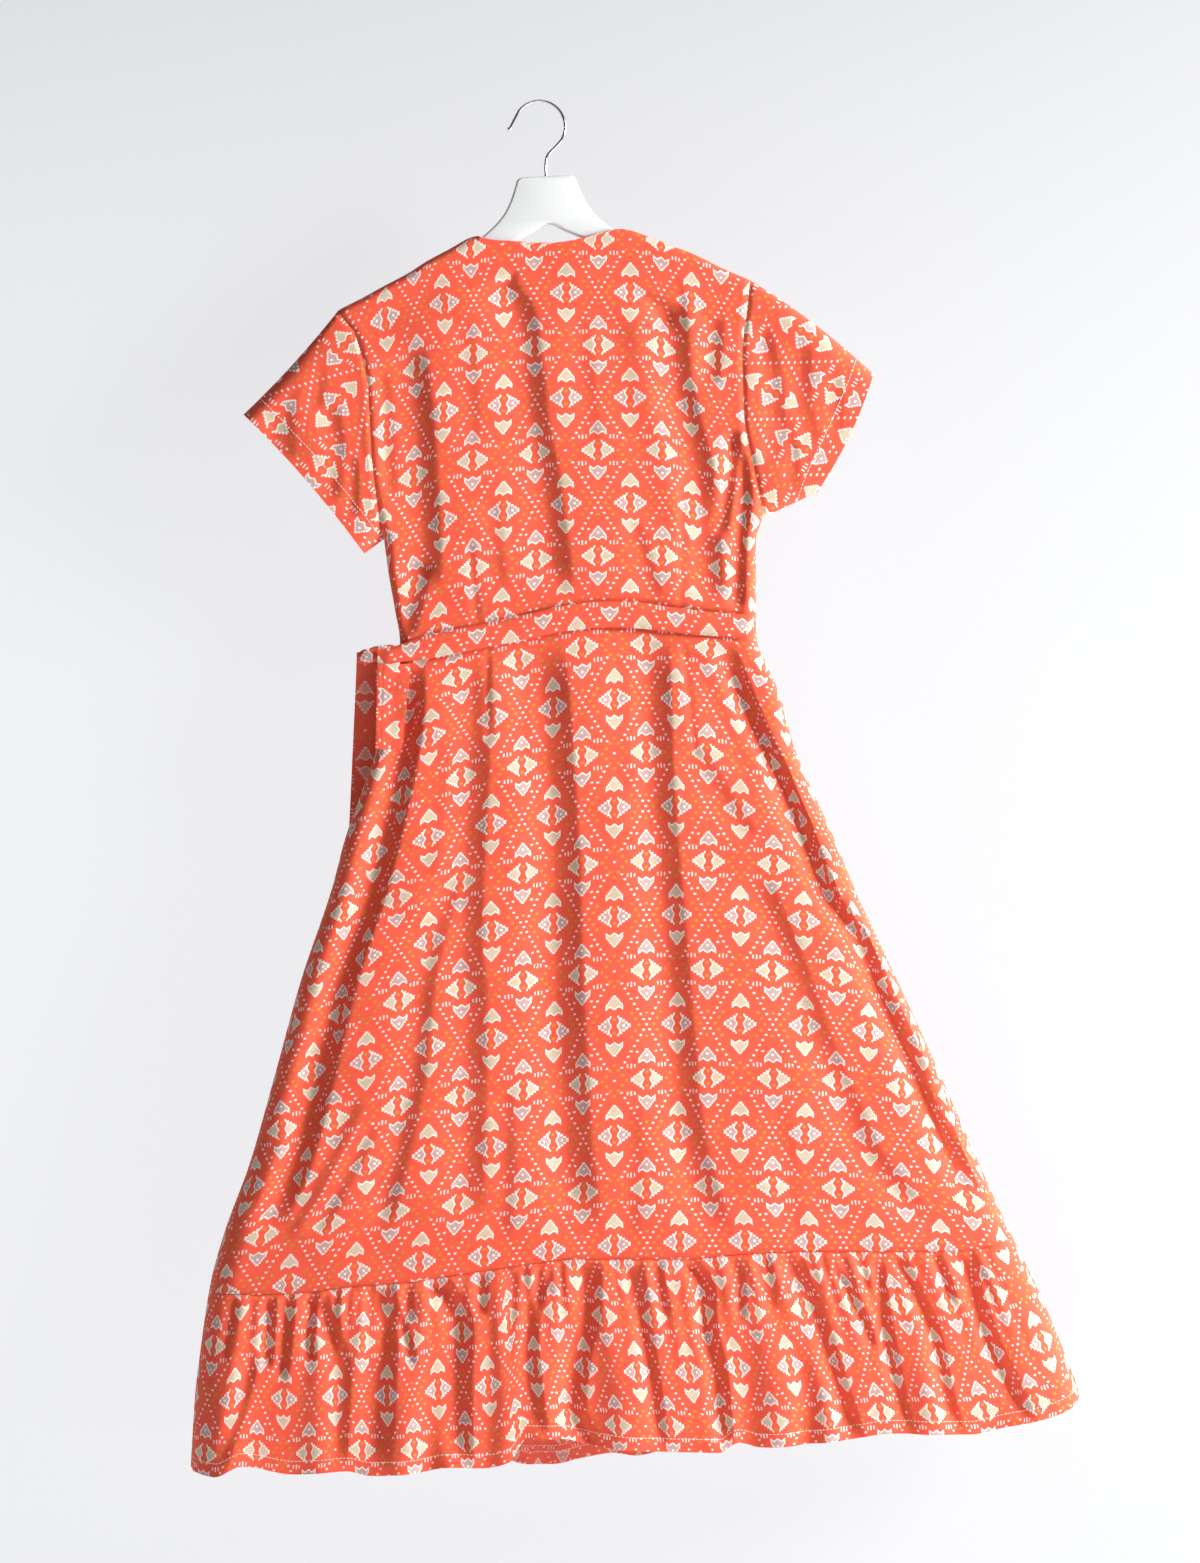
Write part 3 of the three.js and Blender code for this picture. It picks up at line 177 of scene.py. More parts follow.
BACK_RUFFLE_FOLDS = [
    (5.5, 7, 8, [(-247.9, -1125.6), (-248.8, -1168.8), (-251.2, -1216.8)]),
    (4.5, 6, 7, [(-229.6, -1140), (-232.5, -1178.4), (-238.3, -1226.4)]),
    (4.5, 6, 7, [(-208.5, -1132.8), (-210.9, -1183.2), (-208.5, -1207.2)]),
    (5, 10, 12, [(-199.9, -1140), (-186.4, -1168.8), (-177.3, -1216.8), (-178.8, -1264.8),
        (-181.6, -1312.8)]),
    (6.5, 14, 17, [(-146.1, -1102.6), (-134.6, -1140), (-130.8, -1178.4), (-134.6, -1221.6),
        (-135.6, -1264.8), (-139.4, -1312.8)]),
    (3, 6, 6, [(-132.7, -1144.8), (-120.7, -1178.4), (-111.1, -1212)]),
    (9.5, 14, 15, [(-93.3, -1120.8), (-72.7, -1140), (-61.6, -1168.8), (-62.1, -1216.8),
        (-61.6, -1264.8), (-59.7, -1312.8)]),
    (4.5, 8, 8, [(-53.5, -1106.4), (-46.3, -1135.2), (-48.2, -1164)]),
    (4, 9, 9, [(16.1, -1120.8), (3.6, -1154.4), (1.7, -1192.8), (7.5, -1245.6), (16.1, -1284)]),
    (7, 13, 13, [(62.2, -1102.6), (61.2, -1149.6), (50.7, -1202.4), (45.9, -1245.6), (64.1, -1284),
        (73.7, -1308)]),
    (4.8, 9, 8, [(93.9, -1106.4), (101.6, -1144.8), (110.2, -1183.2), (116.9, -1221.6),
        (122.7, -1264.8), (125.6, -1293.6)]),
    (8.5, 10, 11, [(148.1, -1102.6), (168.8, -1130.4), (171.6, -1168.8), (181.2, -1212), (186, -1264.8),
        (188.9, -1298.4)]),
    (3, 6, 6, [(194.7, -1106.4), (199.5, -1135.2), (198.5, -1168.8)]),
    (6.2, 11, 11, [(251.3, -1099.2), (260.9, -1125.6), (275.3, -1164), (287.8, -1202.4),
        (302.2, -1245.6), (317.6, -1288.8)]),
    (4, 6, 6, [(290.7, -1116), (304.1, -1140), (318.5, -1168.8), (326.2, -1197.6)]),
    (4.6, 8, 7, [(330.5, -1102.6), (333.9, -1135.2), (339.6, -1178.4), (350.2, -1231.2), (360.8, -1274.4)]),
    (5.6, 9, 9, [(346.4, -1096.8), (366.5, -1135.2), (384.8, -1178.4), (397.2, -1236), (410.7, -1279.2)]),
    (3.6, 6, 6, [(383.3, -1096.8), (393.4, -1120.8), (401.1, -1149.6)]),
    (6, 10, 10, [(414.5, -1096.8), (428, -1144.8), (442.4, -1188), (458.7, -1221.6), (479.3, -1269.6)]),
    (3, 10, 9, [(-262.3, -1192.8), (-279.1, -1260), (-298.3, -1312.8)]),
    (2.2, 6, 6, [(-17.5, -1111.2), (-15.6, -1140), (-18.4, -1168.8)]),
    (2.2, 6, 6, [(119.3, -1102.6), (122.7, -1130.4), (128.9, -1164)]),
    (2.2, 6, 6, [(222.5, -1102.6), (225.4, -1130.4), (230.2, -1159.2)]),
    (2.4, 6, 6, [(-286.3, -1135.2), (-288.2, -1168.8), (-294, -1207.2)]),
    (2, 5, 5, [(313.7, -1096.8), (316.6, -1116), (319.5, -1140)]),
    (2.4, 6, 6, [(-111.1, -1116), (-117.3, -1140), (-115.9, -1168.8)]),
    (2.2, 7, 7, [(448.1, -1096.8), (462.5, -1135.2), (476.9, -1168.8)]),
]
FRONT_FOLDS = [
    (6.5, 24, 22, [(-58, -540), (-66, -640), (-84, -812), (-101, -930), (-124, -1085)]),
    (4.2, 20, 18, [(38, -560), (32, -700), (27, -832), (24, -960), (30, -1095)]),
    (7, 22, 20, [(112, -540), (124, -660), (148, -800), (160, -930), (176, -1075)]),
    (6, 16, 15, [(178, -560), (205, -670), (244, -800), (286, -930), (338, -1060)]),
    (4.5, 16, 14, [(-104, -640), (-128, -760), (-156, -880), (-196, -1000), (-232, -1085)]),
    (3.2, 18, 16, [(76, -720), (84, -850), (92, -980), (104, -1090)]),
    (2.6, 16, 14, [(-14, -600), (-26, -700), (-40, -820), (-52, -900)]),
    (2.4, 14, 13, [(226, -830), (262, -930), (300, -1030)]),
    (1.8, 12, 12, [(-6, -900), (-4, -1000), (-8, -1090)]),
    (1.6, 12, 12, [(60, -575), (64, -660), (70, -740)]),
    (3.6, 22, 20, [(130, -230), (118, -310), (100, -390), (74, -480)]),
    (3.2, 24, 20, [(-105, -240), (-86, -330), (-62, -410), (-32, -485)]),
    (2.6, 12, 12, [(160, -250), (166, -320), (170, -390), (166, -450)]),
    (2.2, 12, 12, [(-135, -260), (-130, -330), (-122, -400)]),
]
SLEEVE_FOLDS = [
    (2.6, 12, 12, [(-190, -290), (-183, -340), (-188, -385)]),
    (2.2, 14, 12, [(-222, -262), (-232, -305), (-232, -345)]),
    (2.6, 12, 12, [(222, -215), (237, -285), (236, -352)]),
    (2.2, 14, 12, [(262, -232), (262, -280), (272, -330)]),
    (1.6, 10, 9, [(-205, -230), (-202, -265), (-206, -300)]),
    (1.4, 10, 9, [(-250, -290), (-246, -320), (-246, -350)]),
    (1.8, 8, 8, [(-172, -340), (-170, -370), (-171, -400)]),
    (1.8, 9, 9, [(242, -300), (250, -340), (252, -380)]),
    (1.6, 8, 8, [(212, -300), (211, -340), (214, -380)]),
    (1.3, 10, 9, [(290, -260), (293, -290), (292, -320)]),
]
# Packing creases: x and z of the two ends, height (inwards where positive) and half width.
BACK_CREASES = [
    (-190, -748, 330, -738, 0.9, 2.2), (60, -756, 350, -760, 0.8, 2), (-60, -823, 340, -822, 0.8, 2),
    (20, -841, 352, -836, 0.7, 2), (-210, -985, 410, -986, 0.8, 2.2), (-60, -1045, 240, -1040, 0.7, 2),
    (-160, -640, 200, -634, 0.6, 2.2), (80, -570, 240, -562, 0.6, 2), (-290, -1192, 120, -1168, 0.6, 2),
    (-330, -1232, -160, -1228, 0.6, 2), (-96, -255.8, -27, -253.8, -0.9, 2),
    (-157, -328, -111, -321, -0.9, 2), (-73, -339, 19, -344.5, -0.9, 2),
    (-88, -445, -36, -440, 0.9, 2), (-170, -241, -125, -240, -0.8, 2),
    (-72, -177.5, -27, -183.3, -0.9, 2), (10, -338, 52, -352, -0.8, 2), (-52, -184, 22, -176, -0.8, 2),
    (28, -226, 96, -206, -0.8, 2), (14, -284, 64, -276, -0.7, 2), (-16, -342, 76, -336, 0.7, 2),
    (-30, -392, 40, -398, -0.8, 2), (64, -425, 152, -418, 0.8, 2), (104, -262, 168, -256, -0.7, 2),
    (-128, -262, -84, -300, -0.8, 2.2), (-60, -410, -12, -418, -0.7, 2),
]
# Darts: x and z of the top and the low end.
BODICE_DARTS = [(-67, -415, -58, -502), (138, -362, 137, -488)]
SKIRT_DARTS = [(-49, -526, -46, -617), (139, -519, 150.5, -631)]

# Slow waves of the ruffles: waves across the width, share of the turn, height at the hem.
RUFFLE_WAVES = [(14, 0.0, 2.4), (9, 0.31, 2.0), (23, 0.62, 0.8)]

SLEEVES = {
    "sleeve_left": dict(side=-1, tip=LEFT_TIP, underarm=LEFT_UNDERARM, cuff_top=(-282.5, -300),
                        cuff_low=(-167.2, -432.5), top_bow=-2.5, cuff_bow=4, depth=17),
    "sleeve_right": dict(side=1, tip=RIGHT_TIP, underarm=RIGHT_UNDERARM, cuff_top=(321, -260.9),
                         cuff_low=(267.6, -373.9), top_bow=4, cuff_bow=-5, depth=17),
}
BELT = dict(left=-153.4, right=199, leaves_body=-112, width=22.5, wall=1.8)
TURN = dict(x=-155.5, z=-529.5, y=-5.3, half_width=18.5, half_height=7.5, half_depth=8.6, slope=4.5)
TAILS = {
    "tie_tail_short": dict(top_left=-153.4, top_right=-122, low_left=-154.8, low_right=-129.8,
                           top=-539.6, low=-621, y=-15.2, low_y=-20.6, crease=0.14),
    "tie_tail_long": dict(top_left=-174.4, top_right=-140, low_left=-188, low_right=-151,
                          top=-528, low=-790, y=3.1, low_y=34, crease=0.5),
}
HANGER_TILT, HANGER_X = math.radians(-2.7), 4.05
BOARD_CLEARANCE = 8.3
BOARD_ROUND, BOARD_HALF_THICKNESS = 2.6, 6
# The underside of the board's arms: how far below the hook it starts, and its fall.
BOARD_UNDERSIDE, BOARD_FALL = 117.3, 0.466
HANGER_HALF_OUTLINE = [
    (0, -71.5), (20, -71.5), (25.5, -72.4), (28.4, -75), (29.6, -79), (32.2, -86), (36, -95.5),
    (41, -104.5), (47, -112), (55.5, -120), (66, -128), (100, -144.3), (140, -163.4),
    (176, -180.6), (183, -184.6), (185.4, -189), (185, -197), (183, -201.6), (178, -200.4),
    (140, -182.6), (90, -159.3), (40, -136), (16, -124.6), (0, -117.3),
]
HOOK = dict(wire=3, loop_radius=24.6, loop_x=-4, loop_z=-23.1, stem_end=-85.7, ball=2.6)

# Where a motif of the print lies on each piece: x and z of one grey diamond's middle in
# millimetres, the turn of the print in degrees, and the stretch of its rows and columns. On a
# ruffle z is the share of the way from its seam to its hem, and on the belt it is measured from
# the belt's middle line.
PRINT_PLACES = {
    "back_bodice": (88.3, -284.3, 0, 0.985, 0.983), "back_skirt": (73, -677.4, 0, 0.985, 1.007),
    "front": (10, -300, 0, 1.0, 1.0), "back_ruffle": (-294, 0.585, 0, 1.0, 1.0),
    "front_ruffle": (0, 0.585, 0, 1.0, 1.0), "belt": (36.9, -28.8, 0, 1.0, 1.0),
    "sleeve_left": (-192.8, -291.2, -41.5, 1.0, 1.0), "sleeve_right": (223.6, -278.4, 59.3, 1.0, 1.0),
    "tail": (-116.8, -602.4, 90, 1.0, 1.0),
}
# How far the rows of the print hang below their level stretch: (share of the width, drop) rows.
PRINT_DROPS = {
    "back_bodice": [(-0.08, 46), (0.014, 34), (0.105, 25), (0.19, 15), (0.27, 10), (0.355, 7), (0.436, 2.4),
                    (0.517, 0.5), (0.6, 0), (0.755, 0), (0.83, 7), (0.9, 12.5), (0.97, 17), (1.05, 21)],
    "back_skirt": [(0, 52), (0.12, 36), (0.16, 30), (0.23, 20.5), (0.34, 12), (0.436, 6), (0.535, 0),
                   (0.65, -2.3), (0.75, -1), (0.82, 0.5), (0.9, 5), (1, 17)],
}
# Cloth that a fold swallows: how much more than the shown relief's slope the print is drawn in.
FOLD_TAKE = 1.7

# ---- Stage, in metres ----------------------------------------------------------------------

# The wall's matt part and its painted light (a glow of its own in place of the light falling on it), as
# shares of its colour.
WALL_ALBEDO, WALL_PAINTED_LIGHT = 0.09, 0.9
WALL_REACH, WALL_TOP = 5.0, 2.4
# Area lights: name, place, width, share of the key light's power, and colour.
LIGHTS = [
    ("key", (2.5, -0.97, 0.2), 1.1, 1.0, (1, 1, 1)),
    ("fill", (-0.4, -2.2, 2.2), 1.6, 0.035, (0.96, 0.98, 1)),
    ("front_side", (2.6, 2.0, 0.5), 1.2, 0.45, (1, 1, 1)),
]
LIGHTS_MEET = (0.06, 0, -0.65)
WORLD_COLOUR, WORLD_STRENGTH = (0.95, 0.97, 1, 1), 0.07
CAMERA_PLACE, CAMERA_SENSOR, CAMERA_LENS = (0.0593, -4, -0.6518), 36, 96


# ---- Curves and the body's surface ----------------------------------------------------------

def lerp(start, end, share):
    """A straight line: start plus a share of the way to end."""
    return start + (end - start) * share


def smooth(low, high, value):
    """0 below low and 1 above high, with soft ends: 3 s squared less 2 s cubed."""
    share = np.clip((value - low) / (high - low), 0, 1)
    return share * share * (3 - 2 * share)


def dome(value):
    """A quarter ellipse: 0 at 0, rising steeply and level from 1 on."""
    return np.sqrt(1 - (1 - np.clip(value, 0, 1)) ** 2)


def bell(off):
    """1 at 0, falling away on both sides: e to the power of less the square."""
    return np.exp(-off ** 2)


def track(rows):
    """A curve through (place, value) rows: cubic pieces whose slope at a row is the harmonic
    mean of the slopes on both sides, or level where they differ in sign."""
    table = np.array(sorted((row[0], row[1]) for row in rows), float)
    place, value = table[:, 0], table[:, 1]
    step = np.diff(place)
    slope = np.diff(value) / step
    product, total = slope[:-1] * slope[1:], slope[:-1] + slope[1:]
    inner = np.where(product > 0, 2 * product / np.where(total == 0, 1, total), 0)
    tangent = np.concatenate([slope[:1], inner, slope[-1:]])

    def curve(at):
        at = np.clip(np.asarray(at, float), place[0], place[-1])
        i = np.clip(np.searchsorted(place, at, side="right") - 1, 0, len(place) - 2)
        t = (at - place[i]) / step[i]
        rise = value[i + 1] - value[i]
        start, end = tangent[i] * step[i], tangent[i + 1] * step[i]
        return (value[i] + t * start + t * t * (3 * rise - 2 * start - end)
                + t ** 3 * (start + end - 2 * rise))
    return curve


left_x, right_x, depth_at, ramp_at = (
    track(zip(BODY_SECTIONS[:, 0], BODY_SECTIONS[:, k])) for k in (1, 2, 3, 4))
shoulder_z, neckline_z, waist_z = track(SHOULDER_LINE), track(NECKLINE), track(WAIST_SEAM)
seam_z = {"back": track(BACK_RUFFLE_SEAM), "outer": track(FRONT_RUFFLE_SEAM),
          "inner": track(FRONT_RUFFLE_SEAM)}
hem_z = {"back": track(BACK_HEM), "outer": track(FRONT_HEM), "inner": track(FRONT_HEM)}
edge_share = track(EDGE_SHARES)


def free_edge(layer):
    """X of a wrap front's free edge at z: its own line above the waist, a share of the
    body's width below it."""
    rows = OUTER_EDGE if layer == "outer" else INNER_EDGE
    above, waist = track(rows), rows[-1][0]

    def edge(z):
        share = edge_share(z) if layer == "outer" else 1 - edge_share(z)
        return np.where(z > waist, above(z), lerp(left_x(z), right_x(z), share))
    return edge


def width_share(x, z):
    """How far across the dress x lies at z: 0 on its left outline and 1 on its right."""
    return (x - left_x(z)) / (right_x(z) - left_x(z))


def side_distance(x, z):
    """Distance from the nearer outline, level at z."""
    return np.minimum(x - left_x(z), right_x(z) - x)


def ridge_z(x):
    """The line that the cloth hangs from: the shoulders, and a steep bridge over the neck."""
    inside = np.minimum(np.minimum(x - LEFT_NECK[0], RIGHT_NECK[0] - x), 10)
    return shoulder_z(x) + 1.2 * np.maximum(inside, 0)


def body_depth(x, z):
    """Half depth: the section's depth times a quarter ellipse from each side and the ridge."""
    ramp = ramp_at(z)
    left = dome((x - left_x(z)) / ramp + np.maximum(0, z - LEFT_UNDERARM) / 30)
    right = dome((right_x(z) - x) / ramp + np.maximum(0, z - RIGHT_UNDERARM) / 30)
    shoulder = dome((ridge_z(x) - z) / 7)
    return SEAM_HALF + (depth_at(z) - SEAM_HALF) * left * right * shoulder


def fold_depth(folds, x, z, start=0.09, end=0.11):
    """Sum of the folds. Left of its trough a fold fades as a bell; from the trough it rises over
    its band as a power of the share, ever steeper, and ends at the crest. It fades at both ends."""
    total = np.zeros(np.broadcast(x, z).shape)
    for depth, left, band, crest in folds:
        line = track([(point_z, point_x) for point_x, point_z in crest])
        along = (z - crest[0][1]) / (crest[-1][1] - crest[0][1])
        across = (x - line(z)) / band + 1
        rise = 1 - np.maximum(across, 0) ** 1.5
        rising = (rise + np.sqrt(rise * rise + 0.006)) / 2
        shape = np.where(across < 0, bell(np.minimum(across, 0) * band / left), rising)
        total += depth * shape * smooth(-0.01, start, along) * smooth(-0.01, end, 1 - along)
    return total


def crease_height(creases, x, z):
    """Sum of the packing creases: a narrow bell across each line, fading at its two ends."""
    total = np.zeros(np.broadcast(x, z).shape)
    for x0, z0, x1, z1, height, width in creases:
        along = (x - x0) / (x1 - x0)
        across = (z - lerp(z0, z1, along)) / width
        total += height * smooth(0, 0.2, along) * smooth(0, 0.2, 1 - along) * bell(across)
    return total


def dart_depth(darts, x, z):
    """A shallow groove along each dart: a bell across it, fading at its two ends."""
    depth, reach = DART_GROOVE
    total = np.zeros(np.broadcast(x, z).shape)
    for x0, z0, x1, z1 in darts:
        along = (z - z0) / (z1 - z0)
        across = (x - lerp(x0, x1, along)) / reach
        total += depth * smooth(-0.02, 0.1, along) * smooth(-0.02, 0.1, 1 - along) * bell(across)
    return total


def ripple(x, z):
    """Slow unevenness of hung cloth: four crossing sine waves of under half a millimetre."""
    return (0.42 * np.sin(x / 17 + 1.3 * np.sin(z / 61)) + 0.36 * np.sin(x / 29 - z / 83 + 1)
            + 0.3 * np.sin(z / 23 + 1.1 * np.sin(x / 47)) + 0.2 * np.sin((x + z) / 11))


def quiet(x, z, seam):
    """1 inside a panel, fading to 0 near the sides, the hanger, the waist and the ruffle."""
    return (smooth(0, 14, side_distance(x, z)) * smooth(6, 40, ridge_z(x) - z)
            * smooth(1, 13, np.abs(z - waist_z(x))) * smooth(0, 14, z - seam(x)))


def ruffle_wave(layer, x, z):
    """Waves that stand out of a ruffle: the table's slow waves, growing towards the hem, the
    gathers below its seam and the fine tucks close to it, both fading on the way down and both
    sine waves of an uneven pitch, less the ruffle's own folds."""
    seam, hem = seam_z[layer], hem_z[layer]
    down = np.clip((seam(x) - z) / (seam(x) - hem(x)), 0, 1)
    across = width_share(x, z)
    wave = np.zeros(np.broadcast(x, z).shape)
    for count, shift, height in RUFFLE_WAVES:
        phase = count * across + 0.35 * np.sin(2 * np.pi * 2.6 * across + 1) + shift
        wave += height * smooth(0.05, 0.9, down) * np.cos(2 * np.pi * phase)
    gathers = GATHERS * across + 0.3 * np.sin(2 * np.pi * 5.3 * across)
    height = (1 - smooth(0.1, 0.8, down)) * lerp(0.7, 1.1, smooth(0, 0.25, down))
    wave += height * np.cos(2 * np.pi * gathers)
    tucks = TUCKS * across + 0.6 * np.sin(2 * np.pi * 3.7 * across + 2)
    height = (smooth(0, 0.06, down) - smooth(0.08, 0.4, down)) * (
        0.55 + 0.3 * np.sin(2 * np.pi * 7.9 * across))
    wave += height * np.cos(2 * np.pi * tucks)
    if layer == "back":
        wave -= 1.25 * fold_depth(BACK_RUFFLE_FOLDS, x, z, 0.08, 0.2) * smooth(0, 0.05, down)
    return wave * smooth(0, 30, side_distance(x, z))


def armhole_sink(distance, depth):
    """Depth of the groove beside an armhole seam, fading away from it as a bell."""
    most, reach = ARMHOLE_GROOVE
    return np.minimum(most, ARMHOLE_SHARE * depth) * bell(distance / reach)


def wrap_offset(layer, x, z):
    """The wrap fronts' distance from the body's depth, changing over from side to side."""
    across = np.clip(width_share(x, z), 0, 1)
    gap = lerp(2.6, 3.8, smooth(-700, -1150, z))
    return gap * (1 - across) if layer == "outer" else -gap * across


def over_board(x, z):
    """1 over the hanger's arms, fading to 0 from 24 to 44 mm below their underside, which falls
    evenly from the middle, and past their ends."""
    cosine, sine = math.cos(HANGER_TILT), math.sin(HANGER_TILT)
    off, up = (x - HANGER_X) * cosine - z * sine, (x - HANGER_X) * sine + z * cosine
    arms = smooth(-44, -24, up + BOARD_UNDERSIDE + BOARD_FALL * np.abs(off))
    return arms * smooth(-210, -194, -np.abs(off))


def belt_run(x):
    """Z of the belt's middle line at x and its width there: it follows the waist seam with a slow
    wave of about a millimetre, and narrows and drops towards the tie."""
    return (waist_z(x) + 1.1 * np.sin(x / 63) - 3.5 * smooth(-115, -152, x),
            BELT["width"] + 1.2 * np.sin(x / 41) - 10 * smooth(-95, -152, x))


def belt_sink(x, z):
    """Depth to which the belt's two edges press the cloth, fading away from them as bells."""
    middle, width = belt_run(x)
    grooves = sum(depth * bell((z - middle - side * (width / 2 + BELT_GROOVE_OFF)) / reach)
                  for side, depth, reach in BELT_GROOVES)
    return grooves * smooth(-140, -128, x) * smooth(-203, -196, -x)


def limited(relief, body, x, z):
    """Relief that stays out of the hanger's board: r / (1 + (r / room) ** 4) ** (1 / 4), with
    the room between the body's depth and the board."""
    room = np.maximum(body - over_board(x, z) * np.minimum(body, BOARD_CLEARANCE), 0.05)
    inwards = np.maximum(relief, 0)
    return np.minimum(relief, 0) + inwards / (1 + (inwards / room) ** 4) ** 0.25


def layer_y(layer, x, z, folds, darts=()):
    """Y of a cloth layer's middle surface: the body's depth with its folds, creases and darts."""
    calm, folded = quiet(x, z, seam_z[layer]), bpy.context.scene.dress_cloth.folds
    relief = calm * (fold_depth(folds, x, z) * folded - ripple(x, z))
    body = body_depth(x, z)
    body = body - (armhole_sink(x - left_x(z), body) * smooth(0, 12, z - LEFT_UNDERARM)
                   + armhole_sink(right_x(z) - x, body) * smooth(0, 12, z - RIGHT_UNDERARM))
    if layer == "back":
        sink, reach = RUFFLE_GROOVE
        seam_sink = sink * bell((z - seam_z[layer](x)) / reach)
        side = side_distance(x, z)
        relief += (crease_height(BACK_CREASES, x, z) * smooth(0, 30, side)
                   + seam_sink * smooth(4, 30, side))
        relief += belt_sink(x, z) * smooth(2, 20, side)
        return limited(relief + dart_depth(darts, x, z), body, x, z) - body
    return body - limited(relief, body, x, z) + wrap_offset(layer, x, z)


# ---- Grids and meshes --------------------------------------------------------------------------

def evenly(count):
    """Shares from 0 to 1, count equal steps apart."""
    return np.linspace(0, 1, count + 1)


def crowded(count, reach=0.02):
    """Even shares with three closer ones inside each end."""
    ends = np.array([0, 0.18, 0.42, 0.7]) * reach
    return np.unique(np.concatenate([ends, np.linspace(reach, 1 - reach, count - 7), 1 - ends]))


def coons(columns, rows, bottom, top, left, right):
    """x and z of a four-sided panel: the two ruled surfaces between opposite edges added, less
    the one through the corners. Returns two arrays of rows by columns."""
    u, v = columns[None, :], rows[:, None]
    low, high = (np.stack(np.broadcast_arrays(*edge(columns)))[:, None, :] for edge in (bottom, top))
    near, far = (np.stack(np.broadcast_arrays(*edge(rows)))[:, :, None] for edge in (left, right))
    ruled = (1 - v) * low + v * high + (1 - u) * near + u * far
    corners = ((1 - u) * (1 - v) * low[:, :, :1] + u * (1 - v) * low[:, :, -1:]
               + (1 - u) * v * high[:, :, :1] + u * v * high[:, :, -1:])
    return ruled - corners


def stack(x, y, z):
    """Points from their x, y and z, spread over one another's rows and columns."""
    return np.stack(np.broadcast_arrays(x, y, z), axis=-1).astype(float)


def unit(vectors):
    """Vectors divided by their own lengths."""
    return vectors / np.maximum(np.linalg.norm(vectors, axis=-1, keepdims=True), 1e-9)


def grid_normals(grid, ring=False):
    """Unit normals: the cross product of the differences along the columns and the rows."""
    if ring:
        along = np.roll(grid, -1, axis=1) - np.roll(grid, 1, axis=1)
    else:
        along = np.gradient(grid, axis=1)
    return unit(np.cross(along, np.gradient(grid, axis=0)))


def outward(points, *parts):
    """Whether the closed mesh's signed volume, summed over fans of triangles, is positive."""
    fans = [(faces[:, 0], faces[:, k], faces[:, k + 1])
            for faces in parts for k in range(1, faces.shape[1] - 1)]
    return sum((points[a] * np.cross(points[b], points[c])).sum() for a, b, c in fans) >= 0


def mesh_object(name, points, quads, caps=None, corner_uv=None, marks=None, angle=48):
    """An object from points in millimetres, four-cornered faces and optional end caps, smooth
    apart from edges that are sharper than angle."""
    caps = np.zeros((0, 3), int) if caps is None else np.asarray(caps)
    if not outward(points, quads, caps):
        quads, caps = quads[:, ::-1], caps[:, ::-1]
        corner_uv = None if corner_uv is None else corner_uv[:, ::-1]
    corners = np.concatenate([quads.ravel(), caps.ravel()]).astype(np.int32)
    sizes = np.concatenate([np.full(len(quads), 4), np.full(len(caps), caps.shape[1])])
    mesh = bpy.data.meshes.new(name)
    mesh.vertices.add(len(points))
    mesh.vertices.foreach_set("co", (points * MM).astype(np.float32).ravel())
    mesh.loops.add(len(corners))
    mesh.loops.foreach_set("vertex_index", corners)
    mesh.polygons.add(len(sizes))
    mesh.polygons.foreach_set("loop_start", (np.cumsum(sizes) - sizes).astype(np.int32))
    mesh.update(calc_edges=True)
    if corner_uv is not None:
        flat = np.zeros((len(corners), 2), np.float32)
        flat[:corner_uv.size // 2] = corner_uv.reshape(-1, 2) * MM
        mesh.uv_layers.new(name="cloth").data.foreach_set("uv", flat.ravel())
    for label, values in (marks or {}).items():
        mesh.attributes.new(label, "FLOAT", "POINT").data.foreach_set("value", values.astype(np.float32))
    mesh.polygons.foreach_set("use_smooth", np.ones(len(sizes), bool))
    mesh.set_sharp_from_angle(angle=math.radians(angle))
    mesh.validate()
    item = bpy.data.objects.new(name, mesh)
    bpy.context.scene.collection.objects.link(item)
    return item


def wall_faces(rows, columns, ring):
    """Corner numbers of a closed wall of two skins: its quads, and for each corner the number
    of its place on the flat cloth, which has one more column on a ring."""
    spans = columns if ring else columns - 1
    i, j = (part.ravel() for part in np.meshgrid(np.arange(rows - 1), np.arange(spans), indexing="ij"))
    near = [(i, j), (i, j + 1), (i + 1, j + 1), (i + 1, j)]
    parts = [[(0, a, b) for a, b in near], [(1, a, b) for a, b in near[::-1]]]
    across = np.arange(spans)
    for row, order in ((0, 1), (rows - 1, -1)):
        level = np.full(spans, row)
        rim = [(1, level, across), (1, level, across + 1), (0, level, across + 1), (0, level, across)]
        parts.append(rim[::order])
    if not ring:
        up = np.arange(rows - 1)
        for column, order in ((0, -1), (columns - 1, 1)):
            level = np.full(rows - 1, column)
            rim = [(1, up, level), (1, up + 1, level), (0, up + 1, level), (0, up, level)]
            parts.append(rim[::order])
    skin = rows * columns
    quads = np.concatenate([np.stack([side * skin + a * columns + b % columns for side, a, b in part], 1)
                            for part in parts])
    flat_columns = columns + 1 if ring else columns
    flats = np.concatenate([np.stack([a * flat_columns + b for _, a, b in part], 1) for part in parts])
    return quads, flats


